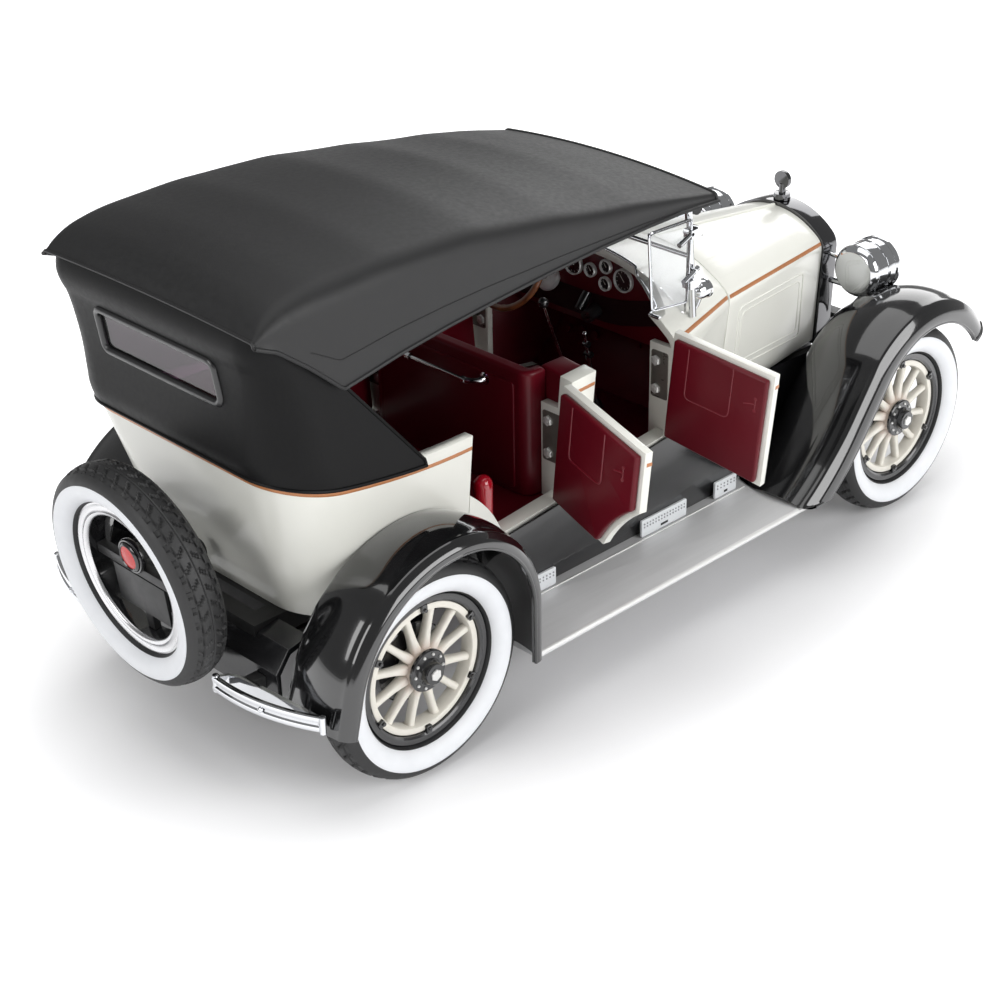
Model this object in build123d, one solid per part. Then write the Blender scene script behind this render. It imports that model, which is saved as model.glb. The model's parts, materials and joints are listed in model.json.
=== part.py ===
from build123d import *
import math
import os

os.makedirs("parts", exist_ok=True)

# 1:18 display model of an open touring car. Millimetres, X forward, Y left, Z up.
# The origin is on the ground, midway between the axles.

# Running gear
WHEELBASE = 162.3
TRACK = 82.0            # between the tyres' centre planes
TYRE_R = 24.7
TYRE_W = 10.0
SIDEWALL = 7.6
RIM_R = TYRE_R - SIDEWALL   # outer edge of the rim flange
PIN_R = 1.2             # stub axle
PIN_GAP = 0.05          # running fit of the wheel on its stub
SPOKES = 12
RIM_CLIPS = 6
KINGPIN_Y = 31.3
ARM_LENGTH = 14.0       # steering arm, parallel linkage

# Body
FLOOR_Z = 39.2
SILL_Z = 36.0           # underside of the body side
DOOR_LOW = 39.6         # lower edge of the doors at x = -48
DOOR_RISE = 0.098       # the lower edge climbs towards the front
SIDE_HALF = 32.3        # half width of the body at z = 40
SIDE_LEAN = 5.75        # degrees, the side leans out towards the belt
WALL = 2.4
DOOR_SKIN = 1.9
DOOR_TRIM = 1.7
DOOR_GAP = 0.4
COWL_X = 34.5           # joint of cowl and hood
APOST_X = 4.6
BPOST_FRONT_X = -22.5
BPOST_REAR_X = -29.8
QUARTER_X = -58.9
TUB_BACK_X = -99.0      # back of the body at z = 40
ARCH_R = 36.4           # rear door corner, about the rear axle
RAD_X = 82.0
OPEN_FRONT = 98.0       # the right-hand doors stand open
OPEN_REAR = 80.5

# Chassis
RAIL_IN = 14.5
RAIL_OUT = 19.3
RAIL_LOW = 31.0
RAIL_TOP = 35.9
SCREW_R = 1.25          # tapped hole for an M3 plinth screw
SCREW_Z = 22.0
SCREW_L = 10.0
SCREW_X = (96.0, -96.0)

# Hinges of the doors
HINGE_OUT = 0.2         # pin line outside the body side
HINGE_PIN_R = 0.4
HINGE_BORE_R = 0.46
BARREL_R = 0.85
BARREL_L = 2.6
LUG_L = 1.4
HINGE_Z = (47.0, 63.0)

# Spare wheel
SPARE_X = -124.5        # outer plane of the tyre
SPARE_Z = 45.6
SPARE_LEAN = 5.9

# Top
ROOF_T = 1.4

FRONT_X = WHEELBASE / 2
REAR_X = -WHEELBASE / 2
LEAN = math.radians(SIDE_LEAN)


def save(name, *shapes):
    solids = [s for shape in shapes for s in shape.solids()]
    for s in solids:
        s.label = name
    body = solids[0] if len(solids) == 1 else Compound(children=solids)
    body.label = name
    export_step(body, f"parts/{name}.step")


def block(x0, x1, y0, y1, z0, z1):
    return Pos((x0 + x1) / 2, (y0 + y1) / 2, (z0 + z1) / 2) * Box(x1 - x0, y1 - y0, z1 - z0)


def rod(p, q, r):
    axis = Vector(*q) - Vector(*p)
    return extrude(Plane(origin=p, z_dir=axis) * Circle(r), axis.length)


def side_prism(points, y0, y1):
    plane = Plane(origin=(0, y0, 0), x_dir=(1, 0, 0), z_dir=(0, -1, 0))
    return extrude(plane * make_face(Polyline(*points, close=True)), -(y1 - y0))


def cross_prism(points, x0, x1):
    return extrude(Plane.YZ.offset(x0) * make_face(Polyline(*points, close=True)), x1 - x0)


def plan_prism(points, z0, z1):
    return extrude(Plane.XY.offset(z0) * make_face(Polyline(*points, close=True)), z1 - z0)


def other_side(shape):
    return mirror(shape, about=Plane.XZ)


def pair(shape):
    return shape, other_side(shape)


# Wheels. Each is made about the Y axis, outer face towards +Y, then turned and placed.
def revolve_y(points):
    return revolve(Plane.XY * make_face(Polyline(*points, close=True)), Axis.Y)


def make_tyre():
    half = TYRE_W / 2
    bead = RIM_R - 1.2
    outline = [
        Line((bead, -1.4), (bead, 1.4)),
        Line((bead, 1.4), (RIM_R + 0.1, 1.4)),
        Line((RIM_R + 0.1, 1.4), (RIM_R + 0.1, 2.3)),
        ThreePointArc((RIM_R + 0.1, 2.3), (RIM_R + 3.6, half), (TYRE_R - 0.8, 3.5)),
        ThreePointArc((TYRE_R - 0.8, 3.5), (TYRE_R, 0), (TYRE_R - 0.8, -3.5)),
        ThreePointArc((TYRE_R - 0.8, -3.5), (RIM_R + 3.6, -half), (RIM_R + 0.1, -2.3)),
        Line((RIM_R + 0.1, -2.3), (RIM_R + 0.1, -1.4)),
        Line((RIM_R + 0.1, -1.4), (bead, -1.4)),
    ]
    return revolve(Plane.XY * make_face(outline), Axis.Y)


def annulus(r0, r1, y0, y1):
    return revolve_y([(r0, y0), (r1, y0), (r1, y1), (r0, y1)])


def make_whitewall(tyre):
    return tyre & annulus(RIM_R + 0.5, RIM_R + 4.75, 2.0, TYRE_W)


def make_rim(flange_in):
    base = RIM_R - 1.25
    ring = revolve_y([
        (flange_in, -2.3), (RIM_R, -2.3), (RIM_R, -1.45), (base, -1.45),
        (base, 1.45), (RIM_R, 1.45), (RIM_R, 2.3), (flange_in, 2.3),
    ])
    return ring


FELLOE_R = RIM_R - 3.7  # inner edge of the wooden rim
CLIP_R = (RIM_R - 3.4, RIM_R - 1.7)


def make_spokes():
    felloe = annulus(FELLOE_R, RIM_R - 2.25, -1.6, 1.6)
    nave = annulus(1.95, 4.4, -2.1, 2.1)
    wood = felloe + nave
    for i in range(SPOKES):
        spoke = Pos(0, 0, FELLOE_R / 2 + 2.0) * Cone(1.35, 0.95, FELLOE_R - 2.4)
        wood += Rot(0, 360 / SPOKES * (i + 0.5), 0) * spoke
    return wood


def make_hub(drum_r):
    hub = annulus(0, 4.7, 2.15, 3.0) + annulus(0, 2.5, 3.0, 5.4) + annulus(0, 1.9, -2.2, 2.2)
    hub += annulus(0, drum_r, -5.1, -2.15)
    return hub - annulus(0, PIN_R + PIN_GAP, -6, 1.8)


def make_wheel(name, x, side, drum_r):
    place = Pos(x, side * TRACK / 2, TYRE_R) * Rot(0, 0, 0 if side > 0 else 180)
    tyre = make_tyre()
    white = make_whitewall(tyre)
    rim = make_rim(RIM_R - 2.2)
    for i in range(RIM_CLIPS):
        turn = Rot(0, 360 / RIM_CLIPS * i, 0)
        rim += turn * block(-0.8, 0.8, 1.7, 2.5, *CLIP_R)
    save(f"{name}_tyre", place * (tyre - white))
    save(f"{name}_whitewall", place * white)
    save(f"{name}_spokes", place * make_spokes())
    save(f"{name}_rim_hub", place * rim, place * make_hub(drum_r))


WHEELS = (
    # name, x, side, drum radius
    ("wheel_front_right", FRONT_X, -1, 4.4),
    ("wheel_front_left", FRONT_X, 1, 4.4),
    ("wheel_rear_right", REAR_X, -1, 9.0),
    ("wheel_rear_left", REAR_X, 1, 9.0),
)
for name, x, side, drum_r in WHEELS:
    make_wheel(name, x, side, drum_r)

# Front axle with an eye at each end, knuckles, tie rod
EYE = (TYRE_R - 2.0, TYRE_R + 2.0)
axle = block(FRONT_X - 1.6, FRONT_X + 1.6, -30, 30, TYRE_R - 1.6, TYRE_R + 1.6)
for side in (-1, 1):
    eye = Pos(FRONT_X, side * KINGPIN_Y, TYRE_R) * Cylinder(1.9, EYE[1] - EYE[0])
    axle += eye
    axle -= Pos(FRONT_X, side * KINGPIN_Y, TYRE_R) * Cylinder(0.85, 12)
for side in (-1, 1):
    axle += block(FRONT_X - 2.6, FRONT_X + 2.6, side * 17 - 2, side * 17 + 2, TYRE_R, TYRE_R + 2.0)
save("front_axle", axle)

ARM_X = FRONT_X - ARM_LENGTH
for name, side in (("knuckle_right", -1), ("knuckle_left", 1)):
    place = Pos(FRONT_X, side * KINGPIN_Y, TYRE_R)
    ears = Pos(0, 0, 2.9) * Cylinder(1.9, 1.4) + Pos(0, 0, -2.9) * Cylinder(1.9, 1.4)
    ears += Cylinder(0.8, 7.2)
    web = block(-1.9, 1.9, min(0, side * 4.0), max(0, side * 4.0), -3.6, 3.6)
    web -= Cylinder(2.3, 4.4)
    stub = rod((0, side * 2.6, 0), (0, side * 11.2, 0), PIN_R)
    arm = block(-ARM_LENGTH, 0, -0.9, 0.9, -3.6, -2.2)
    arm += Pos(-ARM_LENGTH, 0, -2.9) * Cylinder(1.3, 1.4)
    arm += Pos(-ARM_LENGTH, 0, -4.6) * Cylinder(0.6, 4.0)
    save(name, place * (ears + web + stub + arm))
TIE_Z = TYRE_R - 5.0
tie = rod((ARM_X, -KINGPIN_Y, TIE_Z), (ARM_X, KINGPIN_Y, TIE_Z), 0.8)
for side in (-1, 1):
    tie += Pos(ARM_X, side * KINGPIN_Y, TIE_Z) * Cylinder(1.4, 1.8)
    tie -= Pos(ARM_X, side * KINGPIN_Y, TIE_Z) * Cylinder(0.66, 6)
save("tie_rod", tie)

# Rear axle with the torque tube
rear = rod((REAR_X, -35.6, TYRE_R), (REAR_X, 35.6, TYRE_R), 2.2)
rear += rod((REAR_X, -42.4, TYRE_R), (REAR_X, 42.4, TYRE_R), PIN_R)
rear += Pos(REAR_X, 0, TYRE_R) * Sphere(6.2)
rear += rod((REAR_X, 0, TYRE_R), (18.0, 0, 29.0), 1.7)
for side in (-1, 1):
    rear += block(REAR_X - 2.6, REAR_X + 2.6, side * 17 - 2, side * 17 + 2, TYRE_R, TYRE_R + 2.6)
save("rear_axle", rear)

# Leaf springs under the rails
SPRINGS = (
    # axle x, half length, seat z
    (FRONT_X, 21.0, TYRE_R + 2.05),
    (REAR_X, 24.0, TYRE_R + 2.65),
)
leaves = []
for x, half, z in SPRINGS:
    low = ThreePointArc((x - half, RAIL_LOW - 1.5), (x, z), (x + half, RAIL_LOW - 1.5))
    high = ThreePointArc((x + half, RAIL_LOW - 0.1), (x, z + 1.6), (x - half, RAIL_LOW - 0.1))
    edge = [low, Line(low @ 1, high @ 0), high, Line(high @ 1, low @ 0)]
    plane = Plane(origin=(0, -18.6, 0), x_dir=(1, 0, 0), z_dir=(0, -1, 0))
    leaf = extrude(plane * make_face(edge), -3.2)
    leaves += pair(leaf)
save("springs", *leaves)

# Frame: two rails, cross members and the screw posts of the plinth
frame = block(-106, 106, RAIL_IN, RAIL_OUT, RAIL_LOW, RAIL_TOP)
frame += block(-106, 106, -RAIL_OUT, -RAIL_IN, RAIL_LOW, RAIL_TOP)
for x in (104.0, 30.0, -38.0, -104.0):
    frame += block(x - 2, x + 2, -RAIL_IN - 1, RAIL_IN + 1, RAIL_LOW + 1, RAIL_TOP)
for x in SCREW_X:
    frame += block(x - 3.2, x + 3.2, -RAIL_IN - 1, RAIL_IN + 1, RAIL_LOW + 2, RAIL_TOP)
    frame += rod((x, 0, SCREW_Z), (x, 0, RAIL_TOP), 3.0)
    frame -= rod((x, 0, SCREW_Z - 1), (x, 0, SCREW_Z + SCREW_L), SCREW_R)
save("frame", frame)

# Engine and gearbox, one plain block hidden under the hood
engine = block(42, RAD_X - 6, -9, 9, 27, 60) + block(18.2, 42, -5, 5, 26, 31.8)
save("engine_block", engine)


# Cowl and hood: sections with leaning sides and an arched crown
def body_section(x, low, half_low, shoulder, half_top, crown, round_r):
    side = [(-half_low, low), (-half_top, shoulder)]
    arch = ThreePointArc((-half_top, shoulder), (0, crown), (half_top, shoulder))
    edges = [
        Line(side[0], side[1]),
        arch,
        Line((half_top, shoulder), (half_low, low)),
        Line((half_low, low), (-half_low, low)),
    ]
    face = make_face(edges)
    corners = face.vertices().group_by(Axis.Y)[-1]
    return Plane.YZ.offset(x) * fillet(corners, round_r)


def side_half(z):
    return SIDE_HALF + (z - 40) * math.tan(LEAN)


COWL_REAR = dict(low=SILL_Z, half_low=side_half(SILL_Z), shoulder=67.0, half_top=side_half(67.0), crown=80.5)
COWL_FRONT = dict(low=SILL_Z, half_low=21.6, shoulder=66.4, half_top=25.0, crown=75.5)


def cowl_solid(x0, x1, inset):
    cuts = []
    for x, s in ((x0, COWL_REAR), (x1, COWL_FRONT)):
        cuts.append(body_section(
            x, s["low"] - 2 * inset, s["half_low"] - inset, s["shoulder"] - 0.3 * inset,
            s["half_top"] - inset, s["crown"] - inset, 5.0 - inset * 0.8))
    return loft(cuts, ruled=True)


def taper(x, key):
    t = (x - APOST_X) / (COWL_X - APOST_X)
    return COWL_REAR[key] + t * (COWL_FRONT[key] - COWL_REAR[key])


cowl_outer = cowl_solid(APOST_X, COWL_X, 0)
cowl_inner = cowl_solid(APOST_X, COWL_X, 2.0)
cowl = cowl_outer - cowl_inner
firewall = cowl_inner & block(COWL_X - 2.5, COWL_X, -40, 40, SILL_Z, 90)
cowl += firewall
JAMB = (26.6, 65.5)      # the front post's flange: inner edge, top
jamb = cowl_inner & block(APOST_X, APOST_X + 1.6, -40, 40, FLOOR_Z + 0.1, JAMB[1])
jamb -= block(APOST_X - 1, APOST_X + 3, -JAMB[0], JAMB[0], 30, 90)
cowl += jamb
cockpit_cut = side_prism([(0, 71.4), (8.0, 71.4), (13.5, 75), (13.5, 90), (0, 90)], -40, 40)
cowl -= cockpit_cut

DASH_X = 15.0
DASH_LOW = 58.0
FOOT_Z = FLOOR_Z + 0.1
TOE_TOP = DASH_LOW - 0.1
dash = cowl_inner & block(DASH_X, DASH_X + 2, -40, 40, DASH_LOW, 90)
lining = cowl_solid(APOST_X, COWL_X, 2.05) - cowl_solid(APOST_X, COWL_X, 2.75)
lining = lining & block(APOST_X + 1.8, COWL_X - 2.6, -40, 40, FOOT_Z, TOE_TOP)
toe = [(19.5, FOOT_Z), (31.2, 53.0), (31.2, TOE_TOP), (30.4, TOE_TOP), (30.4, 53.4), (18.5, FOOT_Z)]
toe_board = side_prism(toe, -40, 40) & cowl_solid(APOST_X, COWL_X, 2.8)
save("dashboard", dash, *lining.solids(), *toe_board.solids())

HOOD_REAR = dict(low=37.2, half_low=21.8, shoulder=66.4, half_top=25.0, crown=75.5)
HOOD_FRONT = dict(low=37.2, half_low=14.6, shoulder=64.0, half_top=15.9, crown=70.6)


def hood_solid(x0, x1, inset):
    cuts = []
    for x, s in ((x0, HOOD_REAR), (x1, HOOD_FRONT)):
        cuts.append(body_section(
            x, s["low"] - 2 * inset, s["half_low"] - inset, s["shoulder"] - 0.3 * inset,
            s["half_top"] - inset, s["crown"] - inset, 4.0 - inset * 0.8))
    return loft(cuts, ruled=True)


hood = hood_solid(COWL_X + 0.3, RAD_X - 0.2, 0) - hood_solid(COWL_X + 0.3, RAD_X - 0.2, 1.5)
save("hood", hood)

# Radiator
shell_face = body_section(RAD_X, 36.0, 15.4, 64.0, 16.2, 71.4, 5.0)
core_face = body_section(RAD_X, 38.0, 13.4, 62.6, 13.8, 68.4, 4.0)
shell = extrude(shell_face, 5.5)
shell -= extrude(core_face, 5.5)
save("radiator_core", extrude(core_face, 3.8))
cap = Pos(RAD_X + 2.7, 0, 71.5) * Cylinder(2.2, 1.6, align=(Align.CENTER, Align.CENTER, Align.MIN))
cap += Pos(RAD_X + 2.7, 0, 72.6) * Cylinder(0.9, 3.0, align=(Align.CENTER, Align.CENTER, Align.MIN))
cap += Pos(RAD_X + 2.7, 0, 76.6) * Rot(0, 90, 0) * Cylinder(2.3, 1.2)
save("radiator_shell", shell, cap)


# Body side plane: x along the car, second coordinate is the height z
def side_panel(points, depth_from, depth_to, arc=None):
    y40 = -SIDE_HALF
    plane = Plane(origin=(0, y40, 40), x_dir=(1, 0, 0), z_dir=(0, -math.cos(LEAN), -math.sin(LEAN)))
    flat = [(x, (z - 40) / math.cos(LEAN)) for x, z in points]
    face = make_face(Polyline(*flat, close=True))
    if arc is not None:
        face -= arc
    return extrude(plane.offset(-depth_to) * face, depth_to - depth_from)


def door_low(x):
    return DOOR_LOW + (x + 48) * DOOR_RISE


FRAME_DEPTH = 3.6
BPOST_JAMB = (25.8, 62.0)   # the flange behind the rear door's hinge: inner edge, top
SILL_FRONT_X = APOST_X - 0.2
SILL_REAR_X = QUARTER_X + 0.2
frame_points = [
    (SILL_FRONT_X, SILL_Z), (SILL_FRONT_X, door_low(SILL_FRONT_X) - DOOR_GAP),
    (BPOST_FRONT_X, door_low(BPOST_FRONT_X) - DOOR_GAP), (BPOST_FRONT_X, 69.9),
    (BPOST_REAR_X, 69.5), (BPOST_REAR_X, door_low(BPOST_REAR_X) - DOOR_GAP),
    (SILL_REAR_X, door_low(SILL_REAR_X) - DOOR_GAP), (SILL_REAR_X, SILL_Z),
]
side_frame = side_panel(frame_points, 0, FRAME_DEPTH)
corner_points = [(SILL_REAR_X, 37.0), (-40.0, 37.0), (-40.0, 60.0), (SILL_REAR_X, 60.0)]
corner_cut = Pos(-50, 10) * Rectangle(80, 80) - Pos(REAR_X, TYRE_R - 40) * Circle(ARCH_R - DOOR_GAP)
side_frame += side_panel(corner_points, 0, FRAME_DEPTH, corner_cut)
bpost_flange = block(BPOST_REAR_X, BPOST_REAR_X + 2, -31.0, -BPOST_JAMB[0], FLOOR_Z + 0.1, BPOST_JAMB[1])
bpost_flange -= side_panel([(-60, 20), (20, 20), (20, 90), (-60, 90)], -20, FRAME_DEPTH - 0.5)
side_frame += bpost_flange

# Doors: skin and trim, front edge at the hinge
DOORS = (
    # name, hinge x, length, top at hinge, top at free end, arch cut, open angle
    ("door_front", APOST_X, APOST_X - BPOST_FRONT_X, 71.2, 69.9, False, OPEN_FRONT),
    ("door_rear", BPOST_REAR_X, BPOST_REAR_X - QUARTER_X, 69.5, 67.6, True, OPEN_REAR),
)


def make_door(hinge_x, length, top0, top1, arch, inset, depth_from, depth_to):
    x0 = hinge_x - DOOR_GAP - inset
    x1 = hinge_x - length + DOOR_GAP + inset
    points = [(x0, door_low(x0) + inset), (x0, top0 - inset), (x1, top1 - inset), (x1, door_low(x1) + inset)]
    cut = Pos(REAR_X, (TYRE_R - 40)) * Circle(ARCH_R + inset) if arch else None
    return side_panel(points, depth_from, depth_to, cut)


def hinge_axis(hinge_x, side):
    low = (hinge_x - DOOR_GAP, side * (SIDE_HALF + HINGE_OUT), 40)
    return Axis(low, (0, side * math.sin(LEAN), math.cos(LEAN)))


def hinge_rod(hinge_x, z, half, r):
    axis = hinge_axis(hinge_x, -1)
    mid = axis.position + axis.direction * ((z - 40) / math.cos(LEAN))
    return rod(tuple(mid - axis.direction * half), tuple(mid + axis.direction * half), r)


def hinged(skin, post, hinge_x):
    half = BARREL_L / 2
    for z in HINGE_Z:
        post -= hinge_rod(hinge_x, z, half + 0.2, BARREL_R + 0.25)
        lugs = hinge_rod(hinge_x, z, half + 0.2 + LUG_L, BARREL_R)
        lugs -= hinge_rod(hinge_x, z, half + 0.2, BARREL_R + 1)
        post += lugs + hinge_rod(hinge_x, z, half + LUG_L, HINGE_PIN_R)
        skin -= hinge_rod(hinge_x, z, half + 0.5 + LUG_L, BARREL_R + 0.25)
        skin += hinge_rod(hinge_x, z, half, BARREL_R + 0.3) & side_block(hinge_x)
        skin += hinge_rod(hinge_x, z, half, BARREL_R)
        skin -= hinge_rod(hinge_x, z, half + 1, HINGE_BORE_R)
    return skin, post


def mirror_half(shape):
    right = shape & block(-200, 200, -100, 0, 0, 200)
    return right + other_side(right)


def side_block(hinge_x):
    x0 = hinge_x - DOOR_GAP
    return side_panel([(x0 - 4, 30), (x0, 30), (x0, 80), (x0 - 4, 80)], 0, DOOR_SKIN)


for name, hinge_x, length, top0, top1, arch, angle in DOORS:
    skin = make_door(hinge_x, length, top0, top1, arch, 0, 0, DOOR_SKIN)
    trim = make_door(hinge_x, length, top0, top1, arch, 1.0, DOOR_SKIN, DOOR_SKIN + DOOR_TRIM)
    if name == "door_front":
        skin, cowl = hinged(skin, cowl, hinge_x)
        cowl = mirror_half(cowl)
    else:
        skin, side_frame = hinged(skin, side_frame, hinge_x)
    swing = hinge_axis(hinge_x, -1)
    save(f"{name}_right_skin", skin.rotate(swing, angle))
    save(f"{name}_right_trim", trim.rotate(swing, angle))
    save(f"{name}_left_skin", other_side(skin))
    save(f"{name}_left_trim", other_side(trim))
save("cowl", cowl)
save("side_frames", *pair(side_frame))

# Floor, rear body

def d_section(z, x_front, x_back, half, radius):
    face = Pos((x_front + x_back) / 2, 0) * Rectangle(x_front - x_back, 2 * half)
    corners = face.vertices().group_by(Axis.X)[0]
    return Plane.XY.offset(z) * fillet(corners, radius)


def tub_solid(inset, x_front):
    back_slope = 9.5 / 36
    cuts = []
    for z, corner in ((SILL_Z, 16.0), (78.0, 12.0)):
        back = TUB_BACK_X - (z - 40) * back_slope
        cuts.append(d_section(z, x_front, back + inset, side_half(z) - inset, corner - inset))
    return loft(cuts, ruled=True)


def above_belt(lift):
    front = QUARTER_X + 3
    belt = ThreePointArc((front, 67.5 + lift), (-90.0, 69.8 + lift), (-115.0, 76.4 + lift))
    edge = [belt, Line(belt @ 1, (-115, 120)), Line((-115, 120), (front, 120)), Line((front, 120), belt @ 0)]
    plane = Plane(origin=(0, -50, 0), x_dir=(1, 0, 0), z_dir=(0, -1, 0))
    return extrude(plane * make_face(edge), -100)


tub = tub_solid(0, QUARTER_X) - tub_solid(WALL, QUARTER_X + 1)
tub -= above_belt(0)
save("body_tub", tub)
FLOOR_HALF = 28.2
FLOOR_BACK = QUARTER_X + 0.2
plan = [(FLOOR_BACK, FLOOR_HALF), (APOST_X, FLOOR_HALF), (31.8, 19.0)]
plan += [(x, -y) for x, y in reversed(plan)]
floor = plan_prism(plan, SILL_Z, FLOOR_Z)
floor += block(-100, FLOOR_BACK, -FLOOR_HALF, FLOOR_HALF, SILL_Z, FLOOR_Z) & tub_solid(WALL + 0.05, QUARTER_X)
save("floor", floor)

# Seats. The front bench is a shell with rounded rear corners, side walls and a cushion
SEAT_BACK_X = -33.8
SEAT_HALF = 25.5
SEAT_TOP = 69.4
CUSHION_Z = 50.0
shell_back = block(SEAT_BACK_X, SEAT_BACK_X + 6, -SEAT_HALF, SEAT_HALF, FLOOR_Z, SEAT_TOP)
shell_back = fillet(shell_back.edges().filter_by(Axis.Z).group_by(Axis.X)[0], 3.0)
shell_back = fillet(shell_back.edges().group_by(Axis.Z)[-1], 1.0)
shell_back -= block(SEAT_BACK_X + 3.2, 0, -SEAT_HALF + 2.5, SEAT_HALF - 2.5, CUSHION_Z, 90)
front_seat = shell_back + block(SEAT_BACK_X + 3, -8.0, -21.0, 21.0, FLOOR_Z, CUSHION_Z)
WALL_X = (BPOST_REAR_X + 2.2, -18.0)
WALL_TOP = 68.2
SEAT_SIDE = [(WALL_X[0], FLOOR_Z), (WALL_X[1], FLOOR_Z), (WALL_X[1], WALL_TOP - 3), (WALL_X[1] - 3, WALL_TOP),
             (WALL_X[0], WALL_TOP)]
seat_side = side_panel(SEAT_SIDE, FRAME_DEPTH + 0.1, FRAME_DEPTH + 8.0)
seat_side = seat_side & block(-60, 20, -60, 0, FLOOR_Z, 90)
front_seat += seat_side
front_seat += other_side(seat_side)
save("front_seat", front_seat)
rear_seat = block(-88.0, -68.0, -28.5, 28.5, FLOOR_Z, 51.0) + block(-94.0, -87.0, -28.5, 28.5, FLOOR_Z, 69.0)
rear_seat = fillet(rear_seat.edges().filter_by(Axis.Y).group_by(Axis.Z)[-1], 2.4)
rear_seat = rear_seat & tub_solid(WALL + 0.2, QUARTER_X)
LINING_TOP = 66.6       # side linings beside the rear seat
side_lining = tub_solid(WALL + 0.15, QUARTER_X) - tub_solid(WALL + 1.2, QUARTER_X + 1)
side_lining = side_lining & block(-93.0, QUARTER_X - 0.6, -60, 60, FLOOR_Z + 0.1, LINING_TOP)
for lining_side in side_lining.solids():
    rear_seat += lining_side
save("rear_seat", rear_seat)

# Steering wheel on its column, left-hand drive
COLUMN = ((14.3, 15.0, 66.4), (1.0, 15.0, 73.5))
STEERING_R = 10.4
axis_dir = Vector(*COLUMN[1]) - Vector(*COLUMN[0])
wheel_plane = Plane(origin=COLUMN[1], z_dir=axis_dir, x_dir=(0, 1, 0))
steering = rod(COLUMN[0], COLUMN[1], 0.9)
steering += wheel_plane * Torus(STEERING_R, 0.75)
for turn in (0, 90):
    steering += wheel_plane * Rot(0, 0, turn) * Box(2 * STEERING_R - 0.2, 1.2, 0.8)
steering += wheel_plane * Cylinder(1.8, 1.4)
save("steering_wheel", steering)

# Small bright fittings: gauge rims, levers, rail behind the front seat
GAUGES = (
    # y, z, radius
    (-9.2, 72.2, 2.9),
    (-3.6, 74.2, 1.8),
    (-3.4, 69.8, 1.8),
    (1.4, 72.0, 1.8),
    (7.0, 72.2, 2.9),
)
LEVERS = (
    # foot x, y, top x, top z, knob radius
    (9.0, 0.0, -2.8, 69.3, 1.3),
    (11.0, -4.5, 6.5, 60.0, 0.8),
)
RAIL = (-36.8, 9.0, 64.2)   # x, half length, height
RAIL_FOOT_Y = 12.3
fittings = []
for y, z, r in GAUGES:
    fittings.append(rod((DASH_X - 0.1, y, z), (DASH_X - 1.1, y, z), r))
for x0, y, x1, z1, knob_r in LEVERS:
    lever = rod((x0, y, FLOOR_Z + 0.1), (x1, y, z1), 0.55)
    fittings.append(lever + Pos(x1, y, z1) * Sphere(knob_r))
rail = rod((RAIL[0], -RAIL[1], RAIL[2]), (RAIL[0], RAIL[1], RAIL[2]), 0.55)
for side in (-1, 1):
    bend = (RAIL[0], side * RAIL[1], RAIL[2])
    rail += Pos(*bend) * Sphere(0.55)
    rail += rod(bend, (SEAT_BACK_X - 0.1, side * RAIL_FOOT_Y, RAIL[2] + 0.4), 0.55)
rail -= front_seat
fittings.append(rail)
save("fittings", *fittings)


# Fenders: one arched section swept along a ridge path
def offset_arc(points, t):
    (x0, y0), (x1, y1), (x2, y2) = points
    d = 2 * (x0 * (y1 - y2) + x1 * (y2 - y0) + x2 * (y0 - y1))
    cx = ((x0**2 + y0**2) * (y1 - y2) + (x1**2 + y1**2) * (y2 - y0) + (x2**2 + y2**2) * (y0 - y1)) / d
    cy = ((x0**2 + y0**2) * (x2 - x1) + (x1**2 + y1**2) * (x0 - x2) + (x2**2 + y2**2) * (x1 - x0)) / d
    moved = []
    for x, y in points:
        r = math.hypot(x - cx, y - cy)
        moved.append((x + (cx - x) * t / r, y + (cy - y) * t / r))
    return moved


def fender_section(crown, flange, t):
    crown_in = offset_arc(crown, t)
    flange_in = offset_arc(flange, t)
    ridge = Vector(*crown[2])
    n1 = (Vector(*crown_in[2]) - ridge) / t
    n2 = (Vector(*flange_in[0]) - ridge) / t
    inner = ridge + (n1 + n2) * (t / (1 + n1.dot(n2)))
    crown_in[2] = flange_in[0] = (inner.X, inner.Y)
    edges = [
        ThreePointArc(*crown),
        ThreePointArc(*flange),
        Line(flange[2], flange_in[2]),
        ThreePointArc(*reversed(flange_in)),
        ThreePointArc(*reversed(crown_in)),
        Line(crown_in[0], crown[0]),
    ]
    return make_face(edges)


FENDER_T = 1.2
ARCH_WALL_T = 0.8
ARCH_WALL_Z = 30.0      # lower edge of the wheel arch wall
FRONT_CROWN = ((-21.5, -11.0), (-38.0, 1.4), (-48.2, 0.0))
REAR_CROWN = ((29.0, -2.0), (40.0, 1.2), (48.4, 0.0))
FLANGE_FRONT = ((-48.2, 0.0), (-49.7, -1.6), (-50.2, -5.0))
FLANGE_REAR = ((48.4, 0.0), (49.8, -1.0), (50.2, -2.8))


def xz(p):
    return (p[0], 0, p[1])


START_SLOPE = math.radians(33.6)
FENDER_FOOT = (FRONT_X - 44.65, 17.6)   # front fender on the running board
FENDER_CLIMB = 13.0
tangent = xz((math.cos(START_SLOPE), math.sin(START_SLOPE)))
run = TangentArc(xz(FENDER_FOOT), xz((FRONT_X - TYRE_R - 2.45, TYRE_R + 9.5)), tangent=tangent)
climb = Line(run @ 1, (run @ 1) + (run % 1) * FENDER_CLIMB)
over = TangentArc(climb @ 1, xz((FRONT_X + TYRE_R + 1.15, TYRE_R + 19.3)), tangent=climb % 1)
path = Wire([run, climb, over])
start = Plane(origin=run @ 0, x_dir=(0, 1, 0), z_dir=run % 0)
front_fender = sweep(start * fender_section(FRONT_CROWN, FLANGE_FRONT, FENDER_T), path=path)
front_fender -= block(20, 130, -60, 0, 0, 17.7)
save("front_fenders", *pair(front_fender))

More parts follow.
